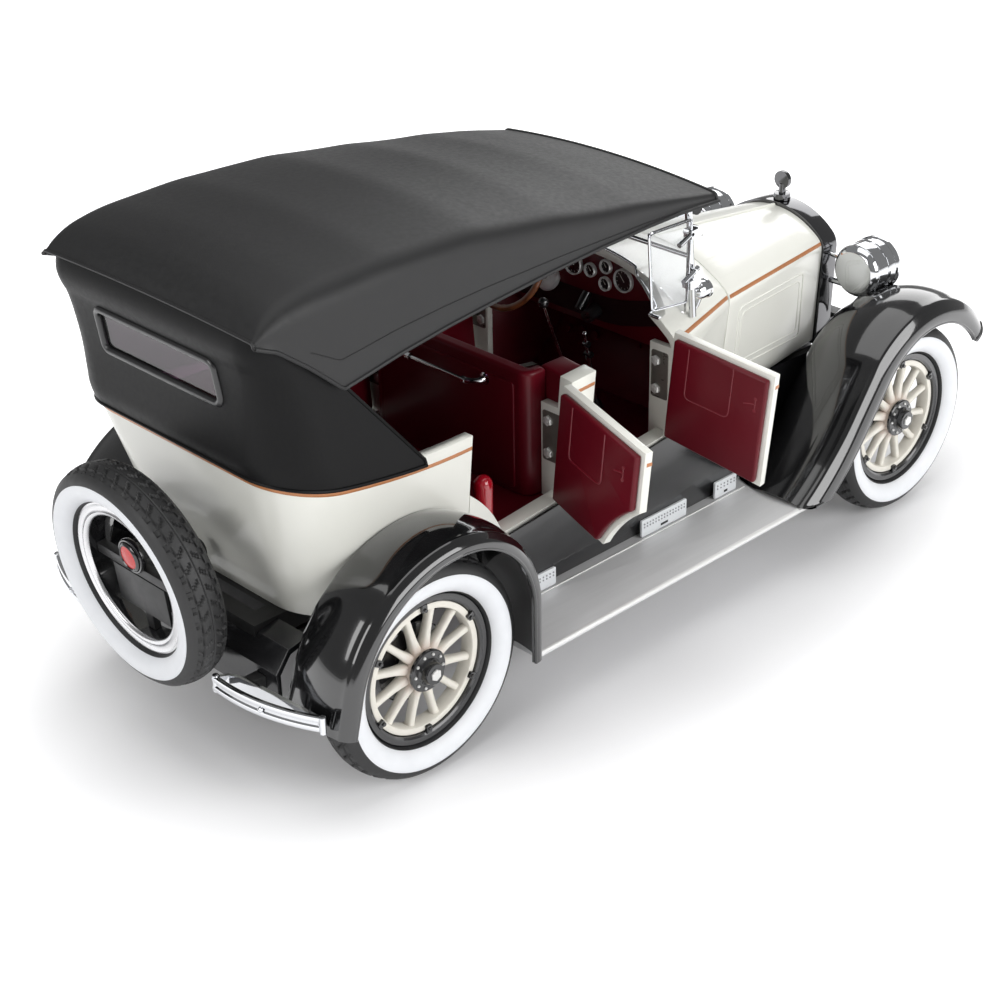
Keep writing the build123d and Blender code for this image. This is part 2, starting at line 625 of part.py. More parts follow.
RISE_X = REAR_X + TYRE_R + 3.15
rise = Line(xz((RISE_X, 17.7)), xz((RISE_X, TYRE_R + 6.8)))
back = TangentArc(rise @ 1, xz((REAR_X + 4.15, 2 * TYRE_R + 6.0)), tangent=rise % 1)
drop = TangentArc(back @ 1, xz((REAR_X - TYRE_R - 0.95, TYRE_R + 7.5)), tangent=back % 1)
tail = Line(drop @ 1, (drop @ 1) + (drop % 1) * 9.0)
path = Wire([rise, back, drop, tail])
start = Plane(origin=rise @ 0, x_dir=(0, -1, 0), z_dir=rise % 0)
rear_fender = sweep(start * fender_section(REAR_CROWN, FLANGE_REAR, FENDER_T), path=path)
# wheel arch wall beside the body, under the crown
wall_edge = []
for i in range(49):
    p, t = path @ (i / 48), path % (i / 48)
    wall_edge.append((p.X - t.Z * 0.7, p.Z + t.X * 0.7))
rear_fender += side_panel([p for p in wall_edge if p[1] > ARCH_WALL_Z], -ARCH_WALL_T - 0.2, -0.2)
rear_fender -= side_panel([(-140, -20), (20, -20), (20, 120), (-140, 120)], -0.2, 30)
save("rear_fenders", *pair(rear_fender))

# Splash aprons, running boards with their scuff plates
BOARD_TOP = 17.5
BOARD_T = 1.6
BOARD = (-50.0, 40.0, 47.6, 26.6)   # rear end, front end, outer edge, inner edge
APRON_X = (-47.5, 36.0)
APRON_Y = 33.3          # outer face beside the sill
APRON_T = 0.65
SCUFF_X = ((-42.0, -29.5), (-0.7, 15.2), (25.7, 33.7))
SCUFF_Y = 29.9
SCUFF_T = 0.6
SCUFF_Z = 4.5


def apron_section(x):
    top = door_low(x) - 1.0
    points = [
        (-APRON_Y, top), (-APRON_Y, SILL_Z - 0.6), (-27.4, BOARD_TOP - BOARD_T), (-26.0, BOARD_TOP - BOARD_T),
        (-31.6, SILL_Z - 0.6), (-APRON_Y + APRON_T, SILL_Z - 0.1), (-APRON_Y + APRON_T, top),
    ]
    return Plane.YZ.offset(x) * make_face(Polyline(*points, close=True))


apron = loft([apron_section(APRON_X[0]), apron_section(APRON_X[1])], ruled=True)
board = block(BOARD[0], BOARD[1], -BOARD[2], -BOARD[3], BOARD_TOP - BOARD_T, BOARD_TOP)
apron -= board
plates = [board]
for x0, x1 in SCUFF_X:
    plates.append(block(x0, x1, -SCUFF_Y, SCUFF_T - SCUFF_Y, BOARD_TOP + 0.1, BOARD_TOP + SCUFF_Z))
save("running_boards", *[p for s in plates for p in pair(s)])

# Lamps
LAMP = (RAD_X - 1.4, 26.6, 59.4)
DRUM = (
    # x, radius
    (0, 0), (0, 5.6), (1.2, 6.7), (9.4, 6.7), (9.4, 7.1), (10.6, 7.1), (10.6, 6.0), (9.0, 6.0), (9.0, 0),
)
drum = revolve(Plane.XY * make_face(Polyline(*DRUM, close=True)), Axis.X)
lamp = Pos(LAMP[0], -LAMP[1], LAMP[2]) * drum
lamp += rod((LAMP[0] + 4.5, -LAMP[1], 55.0), (LAMP[0] + 4.5, -LAMP[1], 46.0), 1.2)
lamp += rod((LAMP[0] + 4.5, -LAMP[1], 53.6), (LAMP[0] + 4.5, -16.3, 53.6), 0.8)
lamp -= front_fender
lamp = lamp.solids().sort_by(SortBy.VOLUME)[-1]
cowl_lamp = Pos(19.0, -28.6, 74.0) * Rot(0, 90, 0) * Cylinder(2.1, 4.0)
cowl_lamp += rod((19.0, -28.6, 73.6), (19.0, -26.6, 68.6), 0.8)
cowl_lamp -= cowl_outer
lamps = [*pair(lamp), *pair(cowl_lamp)]
lens = rod((LAMP[0] + 9.1, -LAMP[1], LAMP[2]), (LAMP[0] + 10.1, -LAMP[1], LAMP[2]), 5.9)
glass = [*pair(lens)]

# Windshield with its wind wings
POST = ((15.6, -29.6, 69.0), (12.6, -29.9, 96.4))
shield = rod(*POST, 0.85) + other_side(rod(*POST, 0.85))
shield += rod(POST[1], (POST[1][0], -POST[1][1], POST[1][2]), 0.85)
shield += rod((14.0, -29.7, 84.0), (14.0, 29.7, 84.0), 0.6)
for z in (78.5, 90.5):
    for side in (-1, 1):
        shield += block(11.0, 14.6, side * 31.2 - 1.4, side * 31.2 + 1.4, z - 1.0, z + 1.0)
shield -= cowl_outer
save("windshield_frame", shield)
pane = plan_prism([(13.6, -28.6), (14.4, -28.6), (14.4, 28.6), (13.6, 28.6)], 60, 95.4)
pane -= cowl_outer
pane -= cockpit_cut & block(0, 13.0, -50, 50, 60, 100)
pane -= shield
pane = pane & block(0, 30, -40, 40, 70, 100)
glass.append(pane)
wing = side_prism([(11.6, 94.0), (-2.5, 94.4), (-1.0, 76.0), (10.6, 74.6)], -32.2, -31.5)
wing -= shield
glass += pair(wing)

# Top: roof shell, rear curtain with its window
ROOF = (
    # x, half width, lower edge, shoulder, crown, corner radius
    (-111.5, 33.5, 97.0, 103.5, 106.5, 3.0),
    (-105.0, 35.5, 94.0, 108.0, 111.0, 5.0),
    (-92.0, 36.0, 91.6, 110.4, 113.6, 6.5),
    (-75.0, 36.0, 93.2, 110.8, 114.0, 6.5),
    (-58.0, 36.0, 94.8, 110.2, 113.4, 6.5),
    (-40.0, 36.0, 96.2, 108.0, 111.4, 5.5),
    (-20.0, 36.0, 97.6, 105.0, 108.4, 4.0),
    (2.0, 35.4, 98.4, 101.8, 104.6, 2.4),
    (18.0, 33.8, 96.6, 98.6, 100.6, 1.5),
)


def roof_solid(inset):
    cuts = []
    last = len(ROOF) - 1
    for i, (x, half, low, shoulder, crown, corner) in enumerate(ROOF):
        x += inset if i == 0 else -inset if i == last else 0
        wide = half - inset
        cuts.append(body_section(
            x, low - 4 * inset, wide, shoulder - inset, wide - 0.6, crown - inset, corner))
    return loft(cuts)


roof = roof_solid(0) - roof_solid(ROOF_T)
save("roof", roof)


def curtain_solid(inset):
    cuts = []
    for z, half, back_x, corner in ((62.0, 34.3, -105.0, 13.0), (101.0, 33.2, -109.2, 6.0)):
        cuts.append(d_section(z, -60.0, back_x + inset, half - inset, corner - inset))
    return loft(cuts, ruled=True)


curtain = curtain_solid(0) - curtain_solid(1.3)
curtain = curtain & above_belt(0.15)
QUARTER_EDGE = [(-73.6, 60), (-73.6, 66.8), (-95.0, 91.0), (-95.0, 110), (-50, 110), (-50, 60)]
curtain -= side_prism(QUARTER_EDGE, -50, 50)
window = Plane.YZ.offset(-112) * RectangleRounded(38.2, 9.4, 2.2)
opening = extrude(Pos(0, 0, 91.0) * window, 8)
rear_pane = curtain & extrude(Pos(0, 0, 91.0) * window, 8)
curtain -= opening
save("rear_curtain", curtain)
glass.append(rear_pane)
save("glass", *glass)

# Rear: tank cover, bumpers
cover_out = [(-100.2, 35.6), (-105.5, 34.5), (-109.0, 30.0), (-109.0, 22.0)]
cover_in = [(-107.8, 22.0), (-107.8, 29.5), (-105.0, 33.2), (-100.2, 34.4)]
cover = side_prism(cover_out + cover_in, -29.5, 29.5)
cover -= block(-106.2, -90, -RAIL_OUT - 0.2, RAIL_OUT + 0.2, 20, 40)
save("splash_panels", *pair(apron), cover)
BUMPER_Z = (25.2, 28.8)
BUMPER = ((-116.9, -18.6), (-116.2, -32.0), (-110.9, -46.4))
outer_bar = offset_arc(BUMPER, 1.1)
bar = [
    ThreePointArc(*BUMPER),
    Line(BUMPER[2], outer_bar[2]),
    ThreePointArc(*reversed(outer_bar)),
    Line(outer_bar[0], BUMPER[0]),
]
bumper = extrude(Plane.XY.offset(BUMPER_Z[0]) * make_face(bar), BUMPER_Z[1] - BUMPER_Z[0])
stay = [(-116.5, -19.2), (-115.8, -18.8), (-112.4, -20.8), (-110.4, -45.6), (-111.5, -45.6), (-113.4, -21.4)]
bumper += plan_prism(stay, BUMPER_Z[0], BUMPER_Z[1])
bumper += block(-112.6, -109.1, -26.0, -23.0, BUMPER_Z[0] + 0.3, BUMPER_Z[1] - 0.3)
save("rear_bumpers", *pair(bumper))

# Spare wheel on its carrier, made about +X then leaned and placed
spare_place = Pos(SPARE_X, 0, SPARE_Z) * Rot(0, -SPARE_LEAN, 0) * Pos(TYRE_W / 2, 0, 0) * Rot(0, 0, 90)
tyre = make_tyre()
white = make_whitewall(tyre)
save("spare_tyre", spare_place * (tyre - white))
save("spare_whitewall", spare_place * white)
SPARE_RIM_IN = RIM_R - 3.1
BAR_HALF = SPARE_RIM_IN - 0.1
PLATE = (17.4, 9.0)     # blank number plate, wide and high
TAIL_LIFT = 4.6         # tail lamp above the wheel's middle
TAIL_R = 3.3
save("spare_rim", spare_place * make_rim(SPARE_RIM_IN))
carrier = block(-BAR_HALF, BAR_HALF, -2.0, 0.0, -0.4, 1.8)
carrier += block(-1.2, 1.2, -2.0, -0.4, -BAR_HALF, TAIL_LIFT + 1.5)
carrier += block(-PLATE[0] / 2, PLATE[0] / 2, -0.6, 0.1, -0.6 - PLATE[1], -0.6)
carrier = spare_place * carrier
carrier += rod((-119.3, 0, SPARE_Z), (-104.0, 0, SPARE_Z), 2.4)
carrier -= tub_solid(-0.1, QUARTER_X)
save("spare_carrier", carrier)
tail_place = spare_place * Pos(0, 0, TAIL_LIFT)
tail = tail_place * (annulus(0, TAIL_R, -0.3, 0.6) + annulus(TAIL_R, TAIL_R + 0.6, -0.3, 1.0))
tail -= carrier
lamps.append(tail)
save("lamps", *lamps)
save("tail_lens", tail_place * annulus(0, TAIL_R - 0.05, 0.65, 1.6))
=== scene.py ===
import bpy
import bmesh
import json
from math import atan2, copysign, cos, exp, hypot, pi, radians, sin, tan
from mathutils import Matrix, Vector
from mathutils.bvhtree import BVHTree

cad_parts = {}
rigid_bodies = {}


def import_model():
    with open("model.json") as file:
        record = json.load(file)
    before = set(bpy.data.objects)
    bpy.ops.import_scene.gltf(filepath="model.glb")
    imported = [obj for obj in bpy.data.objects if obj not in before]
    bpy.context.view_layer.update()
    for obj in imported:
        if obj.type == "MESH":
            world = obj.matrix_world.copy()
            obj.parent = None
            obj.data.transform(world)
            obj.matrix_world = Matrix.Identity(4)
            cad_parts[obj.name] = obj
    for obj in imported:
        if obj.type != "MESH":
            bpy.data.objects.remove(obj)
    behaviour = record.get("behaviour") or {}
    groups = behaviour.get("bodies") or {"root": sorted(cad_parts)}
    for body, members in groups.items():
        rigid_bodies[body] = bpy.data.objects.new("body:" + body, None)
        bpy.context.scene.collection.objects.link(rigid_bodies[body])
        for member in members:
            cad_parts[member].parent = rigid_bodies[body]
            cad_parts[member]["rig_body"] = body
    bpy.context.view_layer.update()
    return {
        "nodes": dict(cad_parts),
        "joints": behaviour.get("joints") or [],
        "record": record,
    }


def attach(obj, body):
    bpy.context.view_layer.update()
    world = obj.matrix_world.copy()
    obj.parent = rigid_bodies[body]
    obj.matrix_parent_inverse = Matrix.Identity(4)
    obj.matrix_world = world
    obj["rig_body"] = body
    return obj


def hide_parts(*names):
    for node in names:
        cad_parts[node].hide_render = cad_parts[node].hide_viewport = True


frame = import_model()
cadNodes = frame["nodes"]
scene = bpy.context.scene
mm = 0.001
print("frame loaded:", len(cadNodes), "nodes")


# finishes: every one is a Principled shader with its own grain, in object coordinates

def addNode(tree, kind, inputs, **settings):
    # a socket among the inputs is linked, any other value is set
    node = tree.nodes.new(kind)
    for key, value in settings.items():
        setattr(node, key, value)
    feedNode(tree, node, inputs)
    return node


def feedNode(tree, node, inputs):
    for key, value in inputs.items():
        if isinstance(value, bpy.types.NodeSocket):
            tree.links.new(value, node.inputs[key])
        else:
            node.inputs[key].default_value = value


grainBand = (0.3, 0.7)  # part of the noise that colour and roughness run over


def makeFinish(name, colour, spread=0.06, grain=400.0, rough=(0.3, 0.4), metal=0.0, coat=0.0, coatRough=0.03,
               bump=0.0, bumpGrain=2500.0, bumpDepth=0.00002, stretch=(1, 1, 1), specular=0.5):
    finish = bpy.data.materials.new(name)
    finish.use_nodes = True
    tree = finish.node_tree
    shader = tree.nodes["Principled BSDF"]
    place = addNode(tree, "ShaderNodeTexCoord", {})
    scaled = addNode(tree, "ShaderNodeMapping", {"Vector": place.outputs["Object"], "Scale": stretch})
    across = scaled.outputs["Vector"]
    mottle = addNode(tree, "ShaderNodeTexNoise", {"Vector": across, "Scale": grain, "Detail": 5.0}).outputs["Fac"]
    tint = addNode(tree, "ShaderNodeValToRGB", {"Fac": mottle})
    for stop, at, share in zip(tint.color_ramp.elements, grainBand, (1 - spread, 1 + spread)):
        stop.position = at
        stop.color = [min(1, c * share) for c in colour] + [1]
    wipe = addNode(tree, "ShaderNodeMapRange", {"Value": mottle, "From Min": grainBand[0], "From Max": grainBand[1],
                                                "To Min": rough[0], "To Max": rough[1]})
    feedNode(tree, shader, {
        "Base Color": tint.outputs["Color"], "Roughness": wipe.outputs["Result"], "Metallic": metal,
        "Coat Weight": coat, "Coat Roughness": coatRough, "Specular IOR Level": specular,
    })
    if bump:
        pores = addNode(tree, "ShaderNodeTexNoise", {"Vector": across, "Scale": bumpGrain, "Detail": 3.0})
        relief = addNode(tree, "ShaderNodeBump", {"Height": pores.outputs["Fac"], "Strength": bump,
                                                  "Distance": bumpDepth})
        tree.links.new(relief.outputs["Normal"], shader.inputs["Normal"])
    return finish


ivoryPaint = makeFinish("ivoryPaint", (0.79, 0.79, 0.73), 0.012, 60, (0.30, 0.34), coat=0.4, coatRough=0.10)
maroonTrim = makeFinish("maroonTrim", (0.105, 0.0036, 0.0095), 0.08, 60, (0.30, 0.36), coat=0.04, coatRough=0.14,
                        specular=0.2)
blackPaint = makeFinish("blackPaint", (0.006, 0.006, 0.0065), 0.2, 150, (0.10, 0.16), coat=1.0, coatRough=0.015)
topVinyl = makeFinish("topVinyl", (0.0120, 0.0120, 0.0125), 0.14, 900, (0.46, 0.56), bump=0.5, bumpGrain=5200,
                      bumpDepth=0.00004, specular=0.38)
# painted shade: the top's vinyl made darker for the curtain's upright faces, which get less light
shadedCurtainVinyl = makeFinish("shadedCurtainVinyl", (0.0045, 0.0045, 0.0048), 0.14, 900, (0.40, 0.48), bump=0.5,
                          bumpGrain=5200, bumpDepth=0.00004, specular=0.13)
tyreRubber = makeFinish("tyreRubber", (0.016, 0.016, 0.0165), 0.25, 700, (0.48, 0.62), bump=0.4, bumpGrain=3000)
whiteRubber = makeFinish("whiteRubber", (0.80, 0.815, 0.84), 0.02, 300, (0.42, 0.52), bump=0.2, bumpGrain=2500)
creamWood = makeFinish("creamWood", (0.76, 0.73, 0.655), 0.04, 500, (0.36, 0.48), coat=0.2)
blackWheel = makeFinish("blackWheel", (0.008, 0.008, 0.009), 0.2, 300, (0.16, 0.26), coat=0.7)
chromePlate = makeFinish("chromePlate", (0.66, 0.67, 0.69), 0.02, 250, (0.06, 0.075), metal=1.0)
# painted reflection: chrome darkened to stand in for the dark surroundings it mirrors
paintedDarkReflectionChrome = makeFinish("paintedDarkReflectionChrome", (0.12, 0.12, 0.125), 0.05, 250, (0.07, 0.09), metal=1.0, coat=0.5)
brushedBoard = makeFinish("brushedBoard", (0.66, 0.66, 0.665), 0.03, 900, (0.40, 0.48), metal=0.15,
                          stretch=(0.06, 1, 1))
silverRim = makeFinish("silverRim", (0.62, 0.62, 0.63), 0.03, 200, (0.24, 0.28), metal=1.0)
copperLine = makeFinish("copperLine", (0.45, 0.175, 0.060), 0.08, 600, (0.34, 0.44), metal=0.25, coat=0.3)
chassisBlack = makeFinish("chassisBlack", (0.012, 0.012, 0.0125), 0.2, 500, (0.36, 0.5), bump=0.3)
coreBlack = makeFinish("coreBlack", (0.010, 0.010, 0.011), 0.25, 900, (0.4, 0.55), bump=0.5)
redLens = makeFinish("redLens", (0.56, 0.010, 0.008), 0.08, 300, (0.22, 0.28), coat=0.2, specular=0.35)
hingeSteel = makeFinish("hingeSteel", (0.20, 0.19, 0.17), 0.10, 300, (0.26, 0.34), metal=0.5)
screwSteel = makeFinish("screwSteel", (0.74, 0.74, 0.72), 0.03, 300, (0.22, 0.28), metal=0.4)
wheelWood = makeFinish("wheelWood", (0.17, 0.055, 0.018), 0.35, 500, (0.28, 0.4), coat=0.5, stretch=(1, 1, 0.2))
dialBlack = makeFinish("dialBlack", (0.012, 0.012, 0.013), 0.2, 400, (0.25, 0.35), coat=0.6)
stripWhite = makeFinish("stripWhite", (0.78, 0.78, 0.77), 0.01, 60, (0.28, 0.30), metal=0.3)
plateSilver = makeFinish("plateSilver", (0.76, 0.78, 0.80), 0.02, 300, (0.30, 0.36), metal=0.1)
plateDot = makeFinish("plateDot", (0.34, 0.35, 0.36), 0.04, 300, (0.30, 0.40), metal=0.4)
apronBlack = makeFinish("apronBlack", (0.011, 0.011, 0.012), 0.10, 200, (0.20, 0.26), coat=0.3, coatRough=0.12)
# painted highlight: a lighter maroon for the pocket lines and latches, which catch the light
paintedHighlightTrim = makeFinish("paintedHighlightTrim", (0.165, 0.008, 0.017), 0.06, 60, (0.26, 0.32), coat=0.15)
# painted shade: a much darker maroon for the sheet under the dash panel
shadeMaroon = makeFinish("shadeMaroon", (0.016, 0.0016, 0.003), 0.15, 300, (0.40, 0.5), specular=0.3)
dialWhite = makeFinish("dialWhite", (0.75, 0.74, 0.70), 0.04, 400, (0.4, 0.5))
windowRubber = makeFinish("windowRubber", (0.014, 0.014, 0.015), 0.15, 500, (0.28, 0.4), coat=0.3)
coreFin = makeFinish("coreFin", (0.05, 0.05, 0.052), 0.15, 500, (0.30, 0.42), metal=0.8)
# painted highlight: the maroon made bright red for the bolster's lit look
knobHighlightMaroon = makeFinish("knobHighlightMaroon", (0.42, 0.006, 0.018), 0.1, 300, (0.12, 0.2), coat=0.8)


def makeGlass(name, colour, rough):
    finish = makeFinish(name, colour, 0.02, 300, rough)
    shader = finish.node_tree.nodes["Principled BSDF"]
    feedNode(finish.node_tree, shader, {"Transmission Weight": 1.0, "IOR": 1.45})
    return finish


clearPane = makeGlass("clearPane", (0.93, 0.94, 0.96), (0.0, 0.02))
smokePane = makeGlass("smokePane", (0.13, 0.055, 0.115), (0.02, 0.05))
lampGlass = makeGlass("lampGlass", (0.90, 0.92, 0.94), (0.02, 0.08))

slotFinish = {
    "tyre_rubber": tyreRubber, "white_rubber": whiteRubber, "cream_spokes": creamWood, "black_wheel": blackWheel,
    "ivory_paint": ivoryPaint, "maroon_trim": maroonTrim, "black_paint": blackPaint, "top_plastic": topVinyl,
    "chrome": chromePlate, "silver_board": brushedBoard, "silver_rim": silverRim, "clear_pane": clearPane,
    "red_lens": redLens, "core_black": coreBlack, "chassis_black": chassisBlack,
}
slotOf = {part["node"]: part["material_slot"] for part in frame["record"]["subparts"]}
for name, node in cadNodes.items():
    node.data.materials.clear()
    node.data.materials.append(slotFinish[slotOf[name]])
print("finishes made:", len(bpy.data.materials))


# camera and light

photoView = {
    "place": (-310.69, -304.80, 252.17),  # mm
    "azimuth": -43.85,
    "elevation": 28.44,
    "roll": -1.0866,
    "focal": 2021.81 / 1000,  # in widths of the image
    "sensor": 36.0,
}


def addCamera(view):
    az, el, roll = (radians(view[k]) for k in ("azimuth", "elevation", "roll"))
    back = Vector((sin(az) * cos(el), -cos(az) * cos(el), sin(el)))
    right = Vector((0, 0, 1)).cross(back).normalized()
    up = back.cross(right)
    turnedRight = right * cos(roll) + up * sin(roll)
    turnedUp = up * cos(roll) - right * sin(roll)
    lens = bpy.data.cameras.new("photoCamera")
    lens.sensor_width = view["sensor"]
    lens.lens = view["focal"] * view["sensor"]
    lens.clip_start = 0.01
    camera = bpy.data.objects.new("photoCamera", lens)
    scene.collection.objects.link(camera)
    turn = Matrix((turnedRight, turnedUp, back)).transposed().to_4x4()
    camera.matrix_world = Matrix.Translation(Vector(view["place"]) * mm) @ turn
    scene.camera = camera


studio = {
    "floorSize": 30.0,
    "floorColour": (0.86, 0.86, 0.87),
    # the floor's glow grows between these distances from the middle, counted less along the length
    "floorGlow": 0.75, "glowFrom": 0.052, "glowTo": 0.130, "glowAlong": 0.62,
    "world": 0.26,
    # name: place, aim, width, height, watts (metres)
    "lamps": {
        "overhead": ((0.0, 0.05, 0.85), (0, 0, 0.05), 0.9, 0.7, 2.9),
        "rightSoftbox": ((0.15, -0.85, 0.40), (0.02, 0, 0.05), 0.8, 0.5, 6.3),
        "rearSoftbox": ((-0.95, -0.05, 0.50), (-0.05, 0, 0.05), 0.6, 0.5, 4.2),
        "frontFill": ((0.80, 0.35, 0.50), (0.03, 0, 0.05), 0.6, 0.5, 2.4),
    },
}


def addStudio(s):
    half = s["floorSize"]
    mesh = bpy.data.meshes.new("floor")
    mesh.from_pydata([(-half, -half, 0), (half, -half, 0), (half, half, 0), (-half, half, 0)], [], [(0, 1, 2, 3)])
    floor = bpy.data.objects.new("studioFloor", mesh)
    scene.collection.objects.link(floor)
    paper = bpy.data.materials.new("floorPaper")
    paper.use_nodes = True
    tree = paper.node_tree
    shader = tree.nodes["Principled BSDF"]
    path = addNode(tree, "ShaderNodeLightPath", {}).outputs
    seen = addNode(tree, "ShaderNodeMath", {0: path["Is Camera Ray"], 1: path["Is Glossy Ray"]},
                   operation="MAXIMUM")
    through = addNode(tree, "ShaderNodeMath", {0: seen.outputs[0], 1: path["Is Transmission Ray"]},
                      operation="MAXIMUM")
    place = addNode(tree, "ShaderNodeTexCoord", {})
    squeeze = addNode(tree, "ShaderNodeVectorMath", {0: place.outputs["Object"], 1: (s["glowAlong"], 1, 0)},
                      operation="MULTIPLY")
    away = addNode(tree, "ShaderNodeVectorMath", {0: squeeze.outputs["Vector"]}, operation="LENGTH")
    level = addNode(tree, "ShaderNodeMapRange", {
        "Value": away.outputs["Value"], "From Min": s["glowFrom"], "From Max": s["glowTo"],
        "To Min": 0.0, "To Max": s["floorGlow"],
    }, interpolation_type="SMOOTHSTEP")
    glow = addNode(tree, "ShaderNodeMath", {0: through.outputs[0], 1: level.outputs["Result"]},
                   operation="MULTIPLY")
    feedNode(tree, shader, {
        "Base Color": (*s["floorColour"], 1), "Roughness": 0.9, "Specular IOR Level": 0.1,
        "Emission Color": (1, 1, 1, 1), "Emission Strength": glow.outputs[0],
    })
    mesh.materials.append(paper)
    world = bpy.data.worlds.new("studioWorld")
    world.use_nodes = True
    feedNode(world.node_tree, world.node_tree.nodes["Background"], {"Color": (1, 1, 1, 1), "Strength": s["world"]})
    scene.world = world
    for name, (place, aim, width, height, watts) in s["lamps"].items():
        light = bpy.data.lights.new(name, "AREA")
        light.shape = "RECTANGLE"
        light.size = width
        light.size_y = height
        light.energy = watts
        lamp = bpy.data.objects.new(name, light)
        scene.collection.objects.link(lamp)
        toAim = Vector(aim) - Vector(place)
        lamp.matrix_world = Matrix.Translation(place) @ toAim.to_track_quat("-Z", "Y").to_matrix().to_4x4()


scene.view_settings.view_transform = "Standard"
addCamera(photoView)
addStudio(studio)
print("camera and light placed")


# mesh helpers: points in mm, pieces in metres

bothSides = [Matrix.Diagonal((1, sign, 1, 1)) for sign in (1, -1)]


def makePiece(name, shape, finish, body, hides=(), sharp=40):
    mesh = bpy.data.meshes.new(name)
    mesh.from_pydata([p * mm for p in shape.points], [], shape.faces)
    shell = bmesh.new()
    shell.from_mesh(mesh)
    bmesh.ops.remove_doubles(shell, verts=shell.verts, dist=0.000001)
    bmesh.ops.recalc_face_normals(shell, faces=shell.faces)
    shell.to_mesh(mesh)
    shell.free()
    mesh.shade_smooth()
    mesh.set_sharp_from_angle(angle=radians(sharp))
    mesh.materials.append(finish)
    piece = bpy.data.objects.new(name, mesh)
    scene.collection.objects.link(piece)
    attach(piece, body)
    if hides:
        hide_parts(*hides)
    return piece


class Shape:
    # gathers points and faces of one joined mesh
    def __init__(self):
        self.points = []
        self.faces = []

    def add(self, points, faces, place=None):
        first = len(self.points)
        self.points += [place @ Vector(p) if place else Vector(p) for p in points]
        self.faces += [tuple(i + first for i in f) for f in faces]

    def grid(self, rows, closeRows=False, closeColumns=False, place=None):
        count, wide = len(rows), len(rows[0])
        faces = []
        for i in range(count if closeRows else count - 1):
            for j in range(wide if closeColumns else wide - 1):
                a, b = i * wide, (i + 1) % count * wide
                k = (j + 1) % wide
                faces.append((a + j, a + k, b + k, b + j))
        self.add([p for row in rows for p in row], faces, place)

    def lathe(self, profile, steps, place, closed=True):
        # profile of (radius, along) about the local Y axis
        rows = list(zip(*(circle(r, y, steps) for r, y in profile)))
        self.grid(rows, closeRows=True, closeColumns=closed, place=place)

    def rod(self, start, end, radius, steps=12, endRadius=None, place=None):
        self.tube([start, end], [radius, radius if endRadius is None else endRadius], steps, place=place)

    def tube(self, path, radius, steps=12, closed=False, flat=1.0, place=None):
        path = [Vector(p) for p in path]
        count = len(path)
        radii = radius if isinstance(radius, list) else [radius] * count
        side = None
        rows = []
        for i, p in enumerate(path):
            ahead = path[(i + 1) % count] if closed or i < count - 1 else p
            behind = path[i - 1] if closed or i > 0 else p
            along = (ahead - behind).normalized()
            if side is None:
                side = along.orthogonal().normalized()
            side = (side - along * side.dot(along)).normalized()
            up = along.cross(side)
            ring = []
            for k in range(steps):
                a = 2 * pi * k / steps
                ring.append(p + side * cos(a) * radii[i] + up * sin(a) * radii[i] * flat)
            rows.append(ring)
        self.grid(rows, closeRows=closed, closeColumns=True, place=place)
        if not closed:
            self.capEnds(rows, place)

    def capEnds(self, rows, place=None):
        for row in (rows[0], rows[-1]):
            self.add(row, [tuple(range(len(row)))], place)

    def shell(self, outer, inner, place=None):
        # two layers of rows, joined along their edges
        loops = [a + list(reversed(b)) for a, b in zip(outer, inner)]
        self.grid(loops, closeColumns=True, place=place)
        half = len(loops[0]) // 2
        ends = [(i, i + 1, 2 * half - 2 - i, 2 * half - 1 - i) for i in range(half - 1)]
        for row in (loops[0], loops[-1]):
            self.add(row, ends, place)

    def slab(self, outline, depth, place, rounding=0.0):
        # flat outline in local XY, thick along local Z, with its upper rim rounded
        inner = insetOutline(outline, rounding)
        low = [(x, y, 0) for x, y in outline]
        rim = [(x, y, depth - rounding) for x, y in outline]
        top = [(x, y, depth) for x, y in inner]
        rows = [low, rim]
        for share in (0.33, 0.67):
            angle = share * pi / 2
            back, rise = rounding * (1 - cos(angle)), rounding * sin(angle)
            rows.append([(x, y, depth - rounding + rise) for x, y in insetOutline(outline, back)])
        rows.append(top)
        self.grid(rows, closeColumns=True, place=place)
        self.add(top, [tuple(range(len(top)))], place)
        self.add(low, [tuple(reversed(range(len(low))))], place)


def circle(radius, along, count):
    # a ring of points about the local Y axis
    turns = [2 * pi * k / count for k in range(count)]
    return [(radius * sin(a), along, radius * cos(a)) for a in turns]


def headingAt(path, i):
    return (path[min(i + 1, len(path) - 1)] - path[max(i - 1, 0)]).normalized()


def backFacing(x):
    # lays an outline of y and height on a plane that looks backwards
    return Matrix(((0, 0, -1, x), (-1, 0, 0, 0), (0, 1, 0, 0), (0, 0, 0, 1)))


def rightFacing(y):
    # lays an outline of x and height on a plane that looks to the right
    return Matrix(((1, 0, 0, 0), (0, 0, -1, y), (0, 1, 0, 0), (0, 0, 0, 1)))


def facing(point, direction):
    # local +Y along a direction
    return Matrix.Translation(point) @ Vector(direction).to_track_quat("Y", "Z").to_matrix().to_4x4()


def insetOutline(outline, depth):
    # moves each point of a closed anticlockwise outline inwards
    if not depth:
        return list(outline)
    moved = []
    count = len(outline)
    for i in range(count):
        before, here, after = (Vector(outline[(i + k) % count]) for k in (-1, 0, 1))
        one, two = (here - before).normalized(), (after - here).normalized()
        normalOne, normalTwo = Vector((-one.y, one.x)), Vector((-two.y, two.x))
        both = normalOne + normalTwo
        moved.append(tuple(here + both * (depth / max(0.25, 1 + normalOne.dot(normalTwo)))))
    return moved


